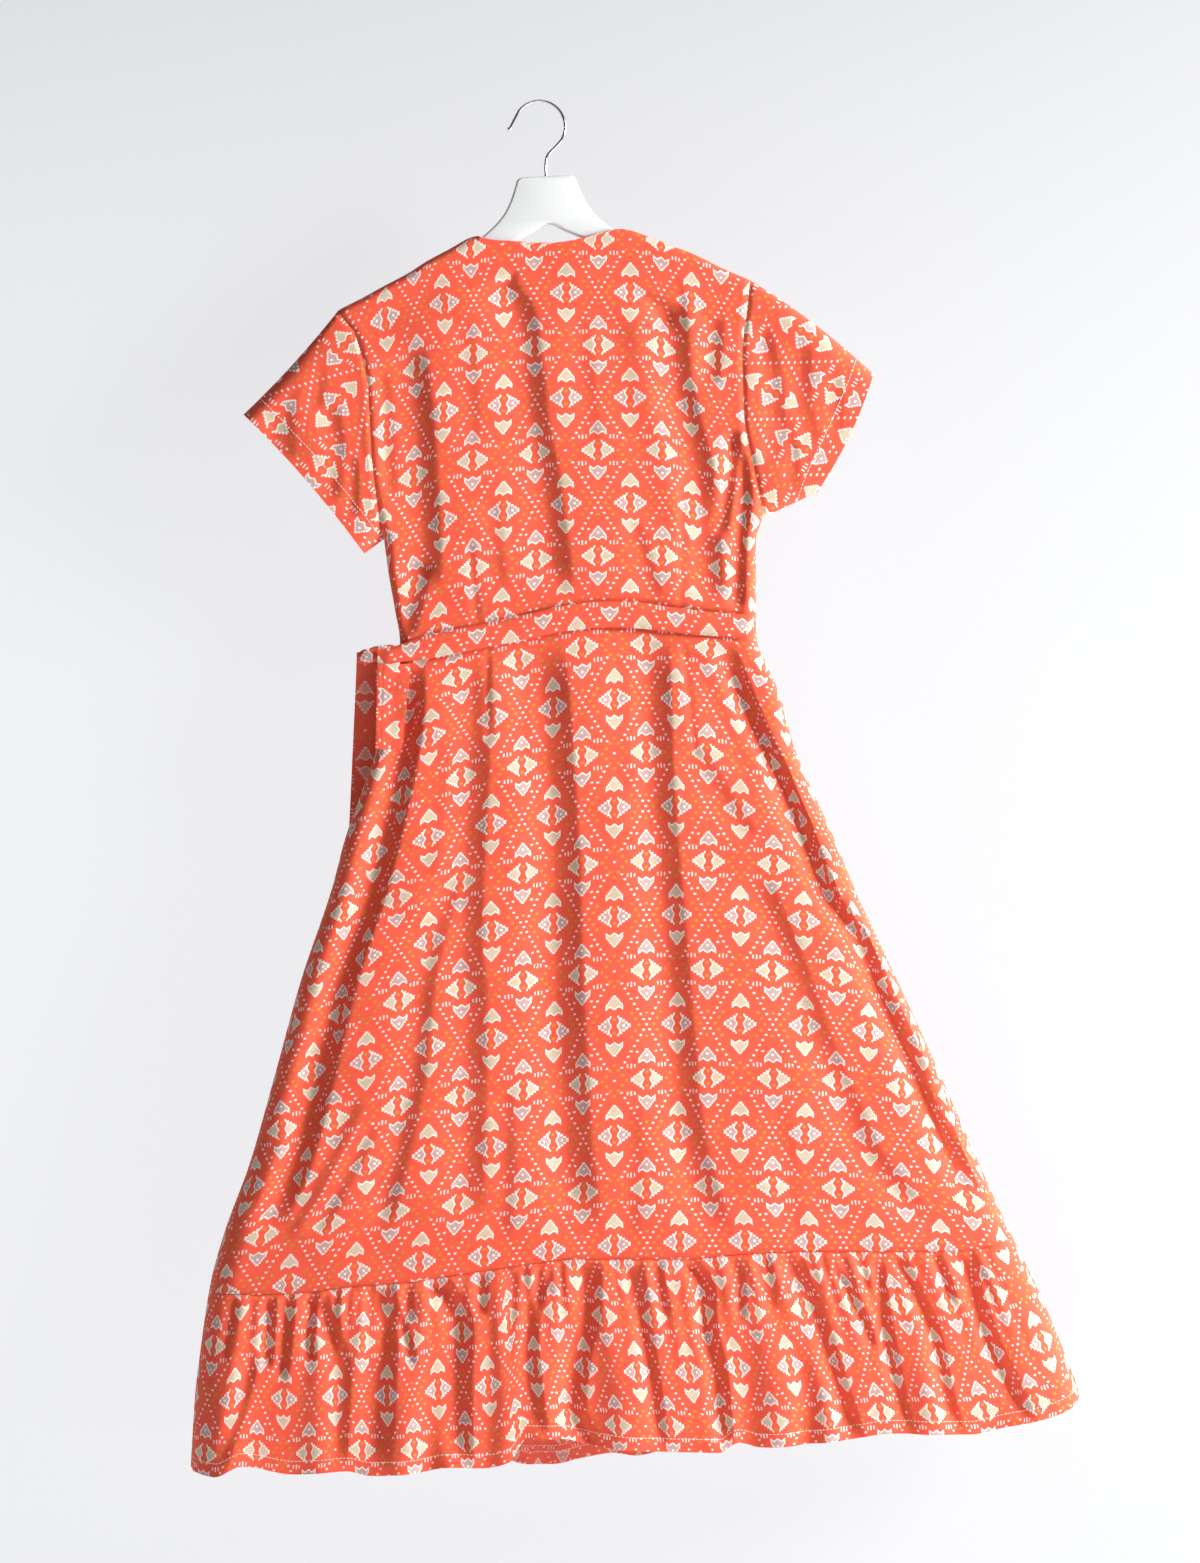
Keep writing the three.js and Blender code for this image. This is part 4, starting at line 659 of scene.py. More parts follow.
def cloth_wall(name, grid, flat, thickness, trim=None, ring=False):
    """A closed thin wall of cloth on a grid: two skins half a wall apart from it, with the flat
    cloth's coordinates as UV and the hidden skin marked by the attribute inside."""
    normals = grid_normals(grid, ring)
    skins = [grid + normals * thickness / 2, grid - normals * thickness / 2]
    if trim:
        for skin in skins:
            trim(skin)
    rows, columns = grid.shape[:2]
    quads, flats = wall_faces(rows, columns, ring)
    points = np.concatenate([skin.reshape(-1, 3) for skin in skins])
    corner_uv = flat.reshape(-1, 2)[flats]
    hidden = hidden_skin(grid, normals)
    inside = np.repeat([float(hidden == 0), float(hidden == 1)], rows * columns)
    piece = mesh_object(name, points, quads, corner_uv=corner_uv, marks={"inside": inside})
    dress(piece, CLOTH)
    return piece


def hidden_skin(grid, normals):
    """0 or 1: the skin that faces the middle plane of the dress, or the middle of a sleeve."""
    centre = grid.reshape(-1, 3).mean(axis=0) * np.array([1, 0, 1])
    away = ((grid - centre) * np.array([0, 1, 0]) * normals).sum()
    return 1 if away > 0 else 0


def dress(piece, slot, material=None):
    """Gives a piece its material and its body."""
    piece.data.materials.append(material or bpy.data.materials[slot])
    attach(piece, "root")


def flat_cloth(grid, place):
    """Flat coordinates of a grid: its lengths along the rows, measured from the column that is
    nearest to the motif's place, and z, both turned and moved onto the print."""
    x0, z0, turn, wide, high = PRINT_PLACES[place]
    steps = np.linalg.norm(np.diff(grid * np.array([1, FOLD_TAKE, 1]), axis=1), axis=2)
    along = np.concatenate([np.zeros((len(grid), 1)), np.cumsum(steps, axis=1)], axis=1)
    column = np.abs(grid[..., 0] - x0).argmin(axis=1)
    rows = np.arange(len(grid))
    along -= (along[rows, column] - (grid[rows, column, 0] - x0))[:, None]
    x, z = grid[..., 0], grid[..., 2]
    drop = track(PRINT_DROPS.get(place, [(0, 0), (1, 0)]))(width_share(x, z))
    return turned(along, z - z0 + drop, turn, wide, high)


def turned(x, z, degrees, wide=1.0, high=1.0):
    """x and z turned by an angle, as the two columns of a UV array."""
    cosine, sine = math.cos(math.radians(degrees)), math.sin(math.radians(degrees))
    return np.stack([(x * cosine + z * sine) / wide, (z * cosine - x * sine) / high], axis=-1)


def corner_of(edge, level, start):
    """Where a side edge meets a level line, found by looking one up by the other."""
    z = start
    for _ in range(12):
        z = float(level(edge(z)))
    return float(edge(z)), z


def left_inset(z):
    """The left outline, moved in by the cloth's inset and half the seam's gap."""
    return left_x(z) + SIDE_INSET + SEAM_HALF


def right_inset(z):
    """The right outline, moved in by the cloth's inset and half the seam's gap."""
    return right_x(z) - SIDE_INSET - SEAM_HALF


def side_edge(edge, low, high):
    """A panel's side from z low to z high, for the shares of its rows."""
    def line(shares):
        z = lerp(low, high, shares)
        return edge(z), z
    return line


def level_edge(start, end, level, lift):
    """A panel's seam or hem between two x, for the shares of its columns."""
    def line(shares):
        x = lerp(start, end, shares)
        return x, level(x) + lift
    return line


# ---- Panels ------------------------------------------------------------------------------------

def seam_trim(layer, left_seam, right_seam, top=None, low=None, shoulder=None):
    """Puts the rim points of a panel onto its seams."""
    side = -1 if layer == "back" else 1

    def trim(skin):
        for column, seamed, underarm, edge, turn in (
                (0, left_seam, LEFT_UNDERARM, left_x, 1), (-1, right_seam, RIGHT_UNDERARM, right_x, -1)):
            if seamed:
                z = skin[:, column, 2]
                above = z > underarm + 1
                skin[:, column, 0] = np.where(above, edge(z) + turn * SEAM_HALF, skin[:, column, 0])
                skin[:, column, 1] = np.where(above, skin[:, column, 1], side * SEAM_HALF)
        if low:
            skin[0, :, 2] = low(skin[0, :, 0]) + SEAM_HALF
        if top:
            skin[-1, :, 2] = top(skin[-1, :, 0]) - SEAM_HALF
        if shoulder:
            on = shoulder(skin[-1, :, 0])
            skin[-1, on, 1] = side * SEAM_HALF
    return trim


def bodice_rows(edge, waist, underarm, tip_z, shares):
    """A bodice's side: the side seam up to the underarm, then the armhole up to the tip."""
    z = np.where(shares < 0.3, lerp(waist, underarm, shares / 0.3),
                 lerp(underarm, tip_z, smooth_end((shares - 0.3) / 0.7)))
    return edge(z), z


def smooth_end(share):
    """Shares that come closer together towards 1."""
    return np.sin(np.clip(share, 0, 1) * np.pi / 2) * 0.5 + np.clip(share, 0, 1) * 0.5


def back_bodice_grid():
    """The back bodice: the panel between the waist seam, the shoulders with the neckline between
    them and the two sides, on the back's surface. Its columns crowd at the neck's two corners."""
    marks = np.array([LEFT_NECK[0] + d for d in (-6, -3, -1, 0, 1.5, 3.5, 6, 9)]
                     + [RIGHT_NECK[0] + d for d in (6, 3, 1, 0, -1.5, -3.5, -6, -9)])
    stations = np.unique(np.concatenate([lerp(LEFT_TIP[0], RIGHT_TIP[0], crowded(140)), marks]))
    columns = (stations - LEFT_TIP[0]) / (RIGHT_TIP[0] - LEFT_TIP[0])
    rows = crowded(128, 0.03)
    waist = {edge: corner_of(edge, waist_z, -515)[1] + SEAM_HALF for edge in (left_inset, right_inset)}
    sides = {edge: lambda shares, edge=edge, underarm=underarm, tip=tip: bodice_rows(
        edge, waist[edge], underarm, tip[1], shares)
        for edge, underarm, tip in ((left_inset, LEFT_UNDERARM, LEFT_TIP),
                                    (right_inset, RIGHT_UNDERARM, RIGHT_TIP))}
    ends = [float(left_inset(LEFT_TIP[1])), float(right_inset(RIGHT_TIP[1]))]

    def top(shares):
        """The shoulders and, between the neck points, the neckline."""
        x = lerp(LEFT_TIP[0], RIGHT_TIP[0], shares)
        z = np.where((x < LEFT_NECK[0]) | (x > RIGHT_NECK[0]), shoulder_z(x), neckline_z(x))
        return lerp(*ends, shares), z
    lows = [float(left_inset(waist[left_inset])), float(right_inset(waist[right_inset]))]
    x, z = coons(columns, rows, level_edge(*lows, waist_z, SEAM_HALF), top,
                 sides[left_inset], sides[right_inset])
    return stack(x, layer_y("back", x, z, BACK_BODICE_FOLDS, BODICE_DARTS), z)


def front_bodice_grid(layer):
    """A wrap front above the waist: the panel between the waist seam, its shoulder, its own side
    and its free edge, whose rows rise in step with the side's, on its layer's surface."""
    outer = layer == "outer"
    own, neck = (right_inset, RIGHT_NECK) if outer else (left_inset, LEFT_NECK)
    underarm, tip = (RIGHT_UNDERARM, RIGHT_TIP) if outer else (LEFT_UNDERARM, LEFT_TIP)
    free = free_edge(layer)
    own_waist = corner_of(own, waist_z, -515)[1] + SEAM_HALF
    free_waist = corner_of(free, waist_z, -515)[1] + SEAM_HALF

    def own_side(shares):
        """The front's side seam and armhole."""
        return bodice_rows(own, own_waist, underarm, tip[1], shares)

    def free_side(shares):
        """The free edge, rising from the waist in step with the front's own side."""
        reach = (own_side(shares)[1] - own_waist) / (tip[1] - own_waist)
        z = lerp(free_waist, neck[1], reach)
        return free(z), z
    left, right = (free_side, own_side) if outer else (own_side, free_side)
    ends = [tuple(float(part) for part in side(np.array(1.0))) for side in (left, right)]

    def top(shares):
        """The shoulder, between the upper ends of the two sides."""
        x = lerp(ends[0][0], ends[1][0], shares)
        z = np.where(shares == 0, ends[0][1], np.where(shares == 1, ends[1][1], shoulder_z(x)))
        return x, z
    lows = [float(side(np.array(0.0))[0]) for side in (left, right)]
    x, z = coons(crowded(96), crowded(108, 0.03), level_edge(*lows, waist_z, SEAM_HALF), top, left, right)
    return stack(x, layer_y(layer, x, z, FRONT_FOLDS), z)


def panel_edges(layer):
    """The two side lines of a lower panel: the outline, or a front's free edge."""
    return (free_edge("outer") if layer == "outer" else left_inset,
            free_edge("inner") if layer == "inner" else right_inset)


def skirt_grid(layer):
    """A skirt panel: the four-sided panel between its side lines, the waist seam and the ruffle's
    seam, on its layer's surface."""
    left, right = panel_edges(layer)
    level = seam_z[layer]
    tops = [corner_of(edge, waist_z, start) for edge, start in ((left, -520), (right, -505))]
    lows = [corner_of(edge, level, start) for edge, start in ((left, -1135), (right, -1090))]
    columns, rows = (crowded(206, 0.03), crowded(176, 0.03)) if layer == "back" else (
        crowded(140, 0.03), crowded(112, 0.03))
    x, z = coons(columns, rows, level_edge(lows[0][0], lows[1][0], level, SEAM_HALF),
                 level_edge(tops[0][0], tops[1][0], waist_z, -SEAM_HALF),
                 side_edge(left, lows[0][1] + SEAM_HALF, tops[0][1] - SEAM_HALF),
                 side_edge(right, lows[1][1] + SEAM_HALF, tops[1][1] - SEAM_HALF))
    folds = BACK_SKIRT_FOLDS if layer == "back" else FRONT_FOLDS
    return stack(x, layer_y(layer, x, z, folds, SKIRT_DARTS), z)


def ruffle_grid(layer):
    """A ruffle: the four-sided panel between its side lines, its seam and its hem, on its layer's
    surface and moved outwards by the ruffle's waves."""
    left, right = panel_edges(layer)
    tops = [corner_of(edge, seam_z[layer], start) for edge, start in ((left, -1135), (right, -1090))]
    lows = [corner_of(edge, hem_z[layer], start) for edge, start in ((left, -1300), (right, -1240))]
    columns, rows = (crowded(470, 0.03), crowded(52, 0.08)) if layer == "back" else (
        crowded(300, 0.03), crowded(32, 0.08))
    x, z = coons(columns, rows, level_edge(lows[0][0], lows[1][0], hem_z[layer], 0),
                 level_edge(tops[0][0], tops[1][0], seam_z[layer], -SEAM_HALF),
                 side_edge(left, lows[0][1], tops[0][1] - SEAM_HALF),
                 side_edge(right, lows[1][1], tops[1][1] - SEAM_HALF))
    side = -1 if layer == "back" else 1
    y = layer_y(layer, x, z, BACK_SKIRT_FOLDS if layer == "back" else FRONT_FOLDS)
    return stack(x, y + side * ruffle_wave(layer, x, z), z)


def ruffle_flat(grid, place, gather):
    """Flat coordinates of a gathered ruffle: the same cloth width at the seam and the hem, the
    seam's width times gather, shared out along the rows by their lengths. The print's own row
    lies at a share of the way from the seam to the hem."""
    x0, z0, turn, wide, high = PRINT_PLACES[place]
    steps = np.linalg.norm(np.diff(grid, axis=1), axis=2).mean(axis=0)
    along = np.concatenate([[0], np.cumsum(steps)])
    width = (grid[-1, -1, 0] - grid[-1, 0, 0]) * gather
    along = along / along[-1] * width
    start = along[np.abs(grid[0, :, 0] - x0).argmin()]
    u = np.broadcast_to(along - start, grid.shape[:2])
    return turned(u, grid[..., 2] - lerp(grid[-1:, :, 2], grid[:1, :, 2], z0), turn, wide, high)


def sleeve_grid(side, tip, underarm, cuff_top, cuff_low, top_bow, cuff_bow, depth):
    """A flattened tube from the armhole to the cuff. Each ring runs from the underarm up the
    front and down the back again, and the underarm's point is shared. The half depth goes over
    from the body's own at the armhole to the sleeve's, which a quarter ellipse rounds at both
    edges, less its folds."""
    arm_x = left_x if side < 0 else right_x

    def arm(shares):
        """The armhole, from the shoulder's tip down to the underarm."""
        z = lerp(tip[1], underarm, shares)
        return arm_x(z) + side * SEAM_HALF, z

    def bowed(start, end, bow):
        """A straight edge bent sideways by a parabola: bow times 4 s (1 - s) at the share s."""
        length = math.hypot(end[0] - start[0], end[1] - start[1])
        off = (-(end[1] - start[1]) / length, (end[0] - start[0]) / length)

        def line(shares):
            out = bow * 4 * shares * (1 - shares)
            return (lerp(start[0], end[0], shares) + off[0] * out,
                    lerp(start[1], end[1], shares) + off[1] * out)
        return line
    around = (1 - np.cos(evenly(64) * np.pi)) / 2 * 0.5 + evenly(64) * 0.5
    rows = crowded(56, 0.04)
    starts = [tuple(float(part) for part in arm(np.array(s))) for s in (0.0, 1.0)]
    x, z = coons(around, rows, arm, bowed(cuff_top, cuff_low, -side * cuff_bow),
                 bowed(starts[0], cuff_top, side * top_bow), bowed(starts[1], cuff_low, 0))
    s, v = around[None, :], rows[:, None]
    arm_z = lerp(tip[1], underarm, s)
    at_arm = body_depth(arm_x(arm_z), arm_z)
    length = math.hypot(cuff_top[0] - cuff_low[0], cuff_top[1] - cuff_low[1])
    rounded = dome(s * length / 14) * dome((1 - s) * length / 14)
    calm = smooth(0, 0.2, v) * smooth(0, 0.2, s) * smooth(0, 0.2, 1 - s)
    off_arm = np.hypot(x - x[:1], z - z[:1])
    half = lerp(at_arm, depth * rounded, smooth(0, 0.7, v)) - armhole_sink(off_arm, at_arm)
    half = half - calm * (fold_depth(SLEEVE_FOLDS, x, z) - ripple(x, z))
    half[:, [0, -1]] = 0
    back, front = stack(x, -half, z), stack(x, half, z)
    ring = np.concatenate([front[:, :0:-1], back[:, :-1]], axis=1)
    return ring, np.concatenate([front[:, ::-1], back[:, 1:]], axis=1)


def sleeve_flat(name, full):
    """Flat coordinates all round a sleeve: on the back x and z turned to its own slope, and on
    the front the same mirrored over the sleeve's top edge."""
    x0, z0, turn, wide, high = PRINT_PLACES[name]
    flat = turned(full[..., 0] - x0, full[..., 2] - z0, turn, wide, high)
    middle = full.shape[1] // 2
    top = flat[:, middle:middle + 1, 0]
    flat[:, :middle, 0] = 2 * top - flat[:, :middle, 0]
    return flat


def belt_grid():
    """A taut doubled strip over the waist, a hair outside the back. It is rounded across by 1 less
    the sixth power of twice the share from its middle line, and waves a little along it."""
    clearance = 2 * SEAM_HALF + BELT["wall"] / 2 + BELT_CLEARANCE
    x = lerp(BELT["left"], BELT["right"], evenly(240))[None, :]
    upper = [0.1, 0.2, 0.3, 0.4, 0.46, 0.49, 0.5]
    row = np.array([-part for part in upper[::-1]] + [0] + upper)[:, None]
    middle, width = belt_run(x)
    z = middle + row * width
    on_body = np.maximum(x, BELT["leaves_body"])
    deepest = np.max([body_depth(on_body, waist_z(on_body) + share * BELT["width"])
                      for share in (-0.5, -0.25, 0.25, 0.5)], axis=0)
    puff = 2.0 * (1 - (2 * np.abs(row)) ** 6) + 0.35 * np.sin(x / 19 + 3 * row) * (1 - 4 * row * row)
    return stack(x + 0 * row, -(deepest + clearance + puff * smooth(0, 12, x - BELT["left"])), z)


def tail_grid(top_left, top_right, low_left, low_right, top, low, y, low_y, crease):
    """A hanging strip from its low end up to the turn. It moves outwards with the square root of
    the way down, and adds a bend that falls off evenly from the crease, the crease's own
    bell-shaped groove and two slow sine waves."""
    v, u = evenly(70)[:, None], crowded(26, 0.06)[None, :]
    x = lerp(lerp(low_left, top_left, v), lerp(low_right, top_right, v), u)
    z = lerp(low, top, v) + 0 * u
    bend = 1.4 * np.maximum(0, 1 - np.abs(u - crease) / 0.4)
    groove = -0.9 * bell((u - crease) / 0.025)
    sway = 0.5 * np.sin(7 * v + 3 * u) + 0.3 * np.sin(17 * v - 5 * u)
    out = lerp(y, low_y, np.sqrt(1 - v))
    return stack(x, out + np.sign(y) * (bend + sway + groove), z)


def unit_ball(rows, columns):
    """x, y and z of a unit ball's rings, without its poles."""
    polar = np.pi * evenly(rows)[1:-1][:, None]
    angle = 2 * np.pi * np.arange(columns)[None, :] / columns
    return np.sin(polar) * np.cos(angle), np.sin(polar) * np.sin(angle), np.cos(polar) + 0 * angle


def turn_points():
    """The soft roll where the two ties cross: a ball made boxy by the power 0.72 of each
    coordinate and stretched, with bell-shaped grooves between its windings. Returns points and
    faces with closed poles."""
    rows, columns = 26, 48
    x, y, z = unit_ball(rows, columns)
    groove = 1 - 0.14 * bell((x + 0.35 * z - 0.1) / 0.16) - 0.08 * bell((x - 0.5) / 0.13)
    boxy = [np.sign(part) * np.abs(part) ** 0.72 for part in (x, y, z)]
    body = stack(TURN["x"] + TURN["half_width"] * boxy[0] * groove,
                 TURN["y"] + TURN["half_depth"] * boxy[1] * groove,
                 TURN["z"] + TURN["half_height"] * boxy[2] * groove + TURN["slope"] * x)
    i, j = (part.ravel() for part in np.meshgrid(np.arange(rows - 2), np.arange(columns), indexing="ij"))
    after = (j + 1) % columns
    quads = np.stack([i * columns + j, (i + 1) * columns + j,
                      (i + 1) * columns + after, i * columns + after], 1)
    ends = np.stack([np.arange(columns), (rows - 2) * columns + np.arange(columns)[::-1]])
    return body.reshape(-1, 3), quads, ends


# ---- Stitches ----------------------------------------------------------------------------------

def path_in(grid, distance):
    """Points of a panel that lie distance in from its first row along its columns, and the
    panel's unit normals there."""
    steps = np.linalg.norm(np.diff(grid, axis=0), axis=2)
    along = np.concatenate([np.zeros((1, grid.shape[1])), np.cumsum(steps, axis=0)])
    i = np.clip((along <= distance).sum(axis=0) - 1, 0, len(grid) - 2)
    j = np.arange(grid.shape[1])
    share = ((distance - along[i, j]) / (along[i + 1, j] - along[i, j]))[:, None]
    normals = grid_normals(grid)
    return lerp(grid[i, j], grid[i + 1, j], share), unit(lerp(normals[i, j], normals[i + 1, j], share))


def stitch_row(points, normals, lift, pitch=3.6, length=2.5, radius=0.34):
    """Stitches along a path: short six-sided capsules, one every pitch, with their middle lift
    away from it along its normals. Returns points, quads and caps for all of them."""
    steps = np.linalg.norm(np.diff(points, axis=0), axis=1)
    along = np.concatenate([[0], np.cumsum(steps)])
    stations = np.arange(pitch, along[-1] - pitch, pitch)
    place, after, normal = (
        np.stack([np.interp(at, along, part[:, k]) for k in range(3)], 1)
        for at, part in ((stations, points), (stations + 0.5, points), (stations, normals)))
    tangent, normal = unit(after - place), unit(normal)
    side = unit(np.cross(tangent, normal))
    normal = np.cross(side, tangent)
    shares, radii = np.array([-0.5, -0.36, 0.36, 0.5]), np.array([0.4, 1, 1, 0.4]) * radius
    angle = 2 * np.pi * np.arange(6) / 6
    ring = (radii[None, :, None, None] * (np.cos(angle)[None, None, :, None] * side[:, None, None, :]
            + 0.8 * np.sin(angle)[None, None, :, None] * normal[:, None, None, :]))
    spine = (place[:, None, :] + normal[:, None, :] * lift
             + tangent[:, None, :] * (shares * length)[None, :, None])
    body = (spine[:, :, None, :] + ring).reshape(-1, 3)
    corner = np.arange(6)
    band = np.concatenate([np.stack([k * 6 + corner, k * 6 + (corner + 1) % 6, k * 6 + 6 + (corner + 1) % 6,
                                     k * 6 + 6 + corner], 1) for k in range(3)])
    starts = 24 * np.arange(len(stations))[:, None, None]
    quads = (band[None] + starts).reshape(-1, 4)
    caps = (np.stack([corner[::-1], 18 + corner])[None] + starts).reshape(-1, 6)
    return body, quads, caps


def stitches(name, rows):
    """One object of several stitch rows."""
    points, quads, caps, count = [], [], [], 0
    for body, four, six in rows:
        points.append(body)
        quads.append(four + count)
        caps.append(six + count)
        count += len(body)
    piece = mesh_object(name, np.concatenate(points), np.concatenate(quads), caps=np.concatenate(caps),
                        angle=80)
    dress(piece, CLOTH, thread_material())
    return piece


def facing(normals, side):
    """Normals turned to the side that has the sign of side along Y."""
    return normals * np.where(normals[:, 1:2] * side < 0, -1, 1)


# ---- Hanger --------------------------------------------------------------------------------------

def tilted(x, y, z):
    """The hanger's own upright frame turned into the dress's frame."""
    cosine, sine = math.cos(HANGER_TILT), math.sin(HANGER_TILT)
    return stack(HANGER_X + x * cosine + z * sine, y, z * cosine - x * sine)


def softened(points, closed, parts=7):
    """A curve through points: cubic pieces whose direction at a point halves the angle between
    its two neighbours, with speed equal to the piece's length."""
    points = np.asarray(points, float)
    after = np.roll(points, -1, axis=0) - points
    if not closed:
        after[-1] = after[-2]
    before = np.roll(after, 1, axis=0)
    if not closed:
        before[0] = after[0]
    heading = unit(unit(after) + unit(before))
    count = len(points) if closed else len(points) - 1
    start, end = points[:count], np.roll(points, -1, axis=0)[:count]
    speed = np.linalg.norm(end - start, axis=1, keepdims=True)
    m0, m1 = heading[:count] * speed, np.roll(heading, -1, axis=0)[:count] * speed
    t = (np.arange(parts) / parts)[None, :, None]
    start, end, m0, m1 = (part[:, None, :] for part in (start, end, m0, m1))
    curve = ((2 * t ** 3 - 3 * t ** 2 + 1) * start + (t ** 3 - 2 * t ** 2 + t) * m0
             + (3 * t ** 2 - 2 * t ** 3) * end + (t ** 3 - t ** 2) * m1).reshape(-1, points.shape[1])
    return curve if closed else np.concatenate([curve, points[-1:]])


def ring_faces(rows, columns):
    """Quads of a tube of rows rings, and the rings at its two ends as caps."""
    i, j = (part.ravel() for part in np.meshgrid(np.arange(rows - 1), np.arange(columns), indexing="ij"))
    after = (j + 1) % columns
    quads = np.stack([i * columns + j, i * columns + after,
                      (i + 1) * columns + after, (i + 1) * columns + j], 1)
    first = np.arange(columns)
    return quads, np.stack([first[::-1], (rows - 1) * columns + first])


def board_mesh():
    """The hanger's board: its outline carried over the thickness with rounded edges. Each ring
    is the outline moved inwards by the round's own inset."""
    half = np.array(HANGER_HALF_OUTLINE, float)
    left = half[1:-1][::-1] * np.array([-1, 1])
    outline = softened(np.concatenate([half, left]), closed=True, parts=6)
    heading = unit(np.roll(outline, -1, axis=0) - np.roll(outline, 1, axis=0))
    after = np.roll(outline, -1, axis=0)
    turn = np.sign((outline[:, 0] * after[:, 1] - after[:, 0] * outline[:, 1]).sum())
    inwards = turn * np.stack([-heading[:, 1], heading[:, 0]], 1)
    angle = np.linspace(0, np.pi / 2, 6)
    inset = BOARD_ROUND * (1 - np.sin(angle))
    depth = BOARD_HALF_THICKNESS - BOARD_ROUND * (1 - np.cos(angle))
    inset, depth = np.concatenate([inset, inset[::-1]]), np.concatenate([-depth, depth[::-1]])
    rings = outline[None] + inwards[None] * inset[:, None, None]
    points = tilted(rings[..., 0], depth[:, None], rings[..., 1]).reshape(-1, 3)
    quads, ends = ring_faces(len(inset), len(outline))
    flat = [Vector((x, z, 0)) for x, z in rings[0]]
    triangles = np.array(tessellate_polygon([flat]))
    a, b, c = (rings[0][triangles[:, k]] for k in range(3))
    crossed = (b[:, 0] - a[:, 0]) * (c[:, 1] - a[:, 1]) - (c[:, 0] - a[:, 0]) * (b[:, 1] - a[:, 1])
    triangles = np.where((crossed * turn > 0)[:, None], triangles, triangles[:, ::-1])
    caps = np.concatenate([triangles[:, ::-1], triangles + ends[1, 0]])
    return points, quads, caps


def hook_mesh(wire):
    """The hook: a round wire carried along the stem and the loop, with a small ball on its tip."""
    angle = np.radians(lerp(158, -52, evenly(10)))
    loop = np.stack([HOOK["loop_x"] + HOOK["loop_radius"] * np.cos(angle),
                     HOOK["loop_z"] + HOOK["loop_radius"] * np.sin(angle)], 1)
    tip = np.array([[HOOK["loop_x"] - HOOK["loop_radius"] - 4, HOOK["loop_z"] - 1]])
    stem = np.array([[2.2, -51.7], [0, -61.1], [0, -72], [0, HOOK["stem_end"]]])
    path = softened(np.concatenate([tip, loop, stem]), closed=False, parts=8)
    heading = unit(np.gradient(path, axis=0))
    turn = 2 * np.pi * np.arange(20)[None, :, None] / 20
    off = wire / 2 * np.cos(turn) * np.stack([heading[:, 1], -heading[:, 0]], 1)[:, None, :]
    y = wire / 2 * np.sin(turn)[..., 0] + 0 * off[..., 0]
    rings = path[:, None, :] + off
    points = tilted(rings[..., 0], y, rings[..., 1]).reshape(-1, 3)
    quads, caps = ring_faces(len(path), 20)
    centre = tilted(tip[0, 0], 0, tip[0, 1])
    ball, ball_quads, ball_caps = ball_mesh(centre, HOOK["ball"])
    shift = len(points)
    return (np.concatenate([points, ball]), np.concatenate([quads, ball_quads + shift]),
            np.concatenate([caps, ball_caps + shift]))


def ball_mesh(centre, radius):
    """A unit ball times the radius about its centre, its poles closed by caps."""
    x, y, z = unit_ball(12, 20)
    points = stack(x, y, z).reshape(-1, 3) * radius + np.asarray(centre).reshape(3)
    return (points, *ring_faces(11, 20))


# ---- Materials -----------------------------------------------------------------------------------

def linear(red, green, blue):
    """Screen values of 0 to 255 as linear colour: the usual curve with its straight start."""
    parts = [part / 255 for part in (red, green, blue)]
    return tuple(part / 12.92 if part <= 0.04045 else ((part + 0.055) / 1.055) ** 2.4 for part in parts)


class Wire:
    """A number in a node tree. Arithmetic on it adds Math nodes."""

    def __init__(self, tree, socket):
        self.tree, self.socket = tree, socket

    def math(self, operation, *others):
        """A Math node of that operation on this number and the others."""
        node = self.tree.nodes.new("ShaderNodeMath")
        node.operation = operation
        for socket, value in zip(node.inputs, (self, *others)):
            if isinstance(value, Wire):
                self.tree.links.new(value.socket, socket)
            else:
                socket.default_value = value
        return Wire(self.tree, node.outputs[0])

    def __add__(self, other):
        return self.math("ADD", other)

    def __sub__(self, other):
        return self.math("SUBTRACT", other)

    def __mul__(self, other):
        return self.math("MULTIPLY", other)

    def __rsub__(self, other):
        return self.math("MULTIPLY", -1.0) + other

    __radd__, __rmul__ = __add__, __mul__

    def top(self, other):
        """The larger of the two."""
        return self.math("MAXIMUM", other)

    def low(self, other):
        """The smaller of the two."""
        return self.math("MINIMUM", other)

    def size(self):
        """Its distance from 0."""
        return self.math("ABSOLUTE")

    def below(self, other):
        """1 where it is less than the other, or else 0."""
        return self.math("LESS_THAN", other)

    def wrapped(self, half):
        """Repeated in the range from less half to half."""
        return self.math("WRAP", half, -half)


def blend(tree, share, under, over):
    """The colour over laid on the colour under by share."""
    node = tree.nodes.new("ShaderNodeMix")
    node.data_type = "RGBA"
    tree.links.new(share.socket, node.inputs["Factor"])
    for label, value in (("A", under), ("B", over)):
        tree.links.new(value, next(s for s in node.inputs if s.name == label and s.type == "RGBA"))
    return next(s for s in node.outputs if s.type == "RGBA")


def node_group(name, inputs, outputs):
    """An empty shader node group with named sockets. Returns it with its two end nodes."""
    tree = bpy.data.node_groups.new(name, "ShaderNodeTree")
    for direction, sockets in (("INPUT", inputs), ("OUTPUT", outputs)):
        for label, kind in sockets:
            tree.interface.new_socket(name=label, in_out=direction, socket_type=kind)
    return tree, tree.nodes.new("NodeGroupInput"), tree.nodes.new("NodeGroupOutput")


PRINT_PIXEL = 0.96
CELL_HALF_WIDTH, CELL_HALF_HEIGHT = 33.0, 53.5
WHITE_DOT, OCHRE_DOT = (1.5, 1.05), (1.7, 1.3)


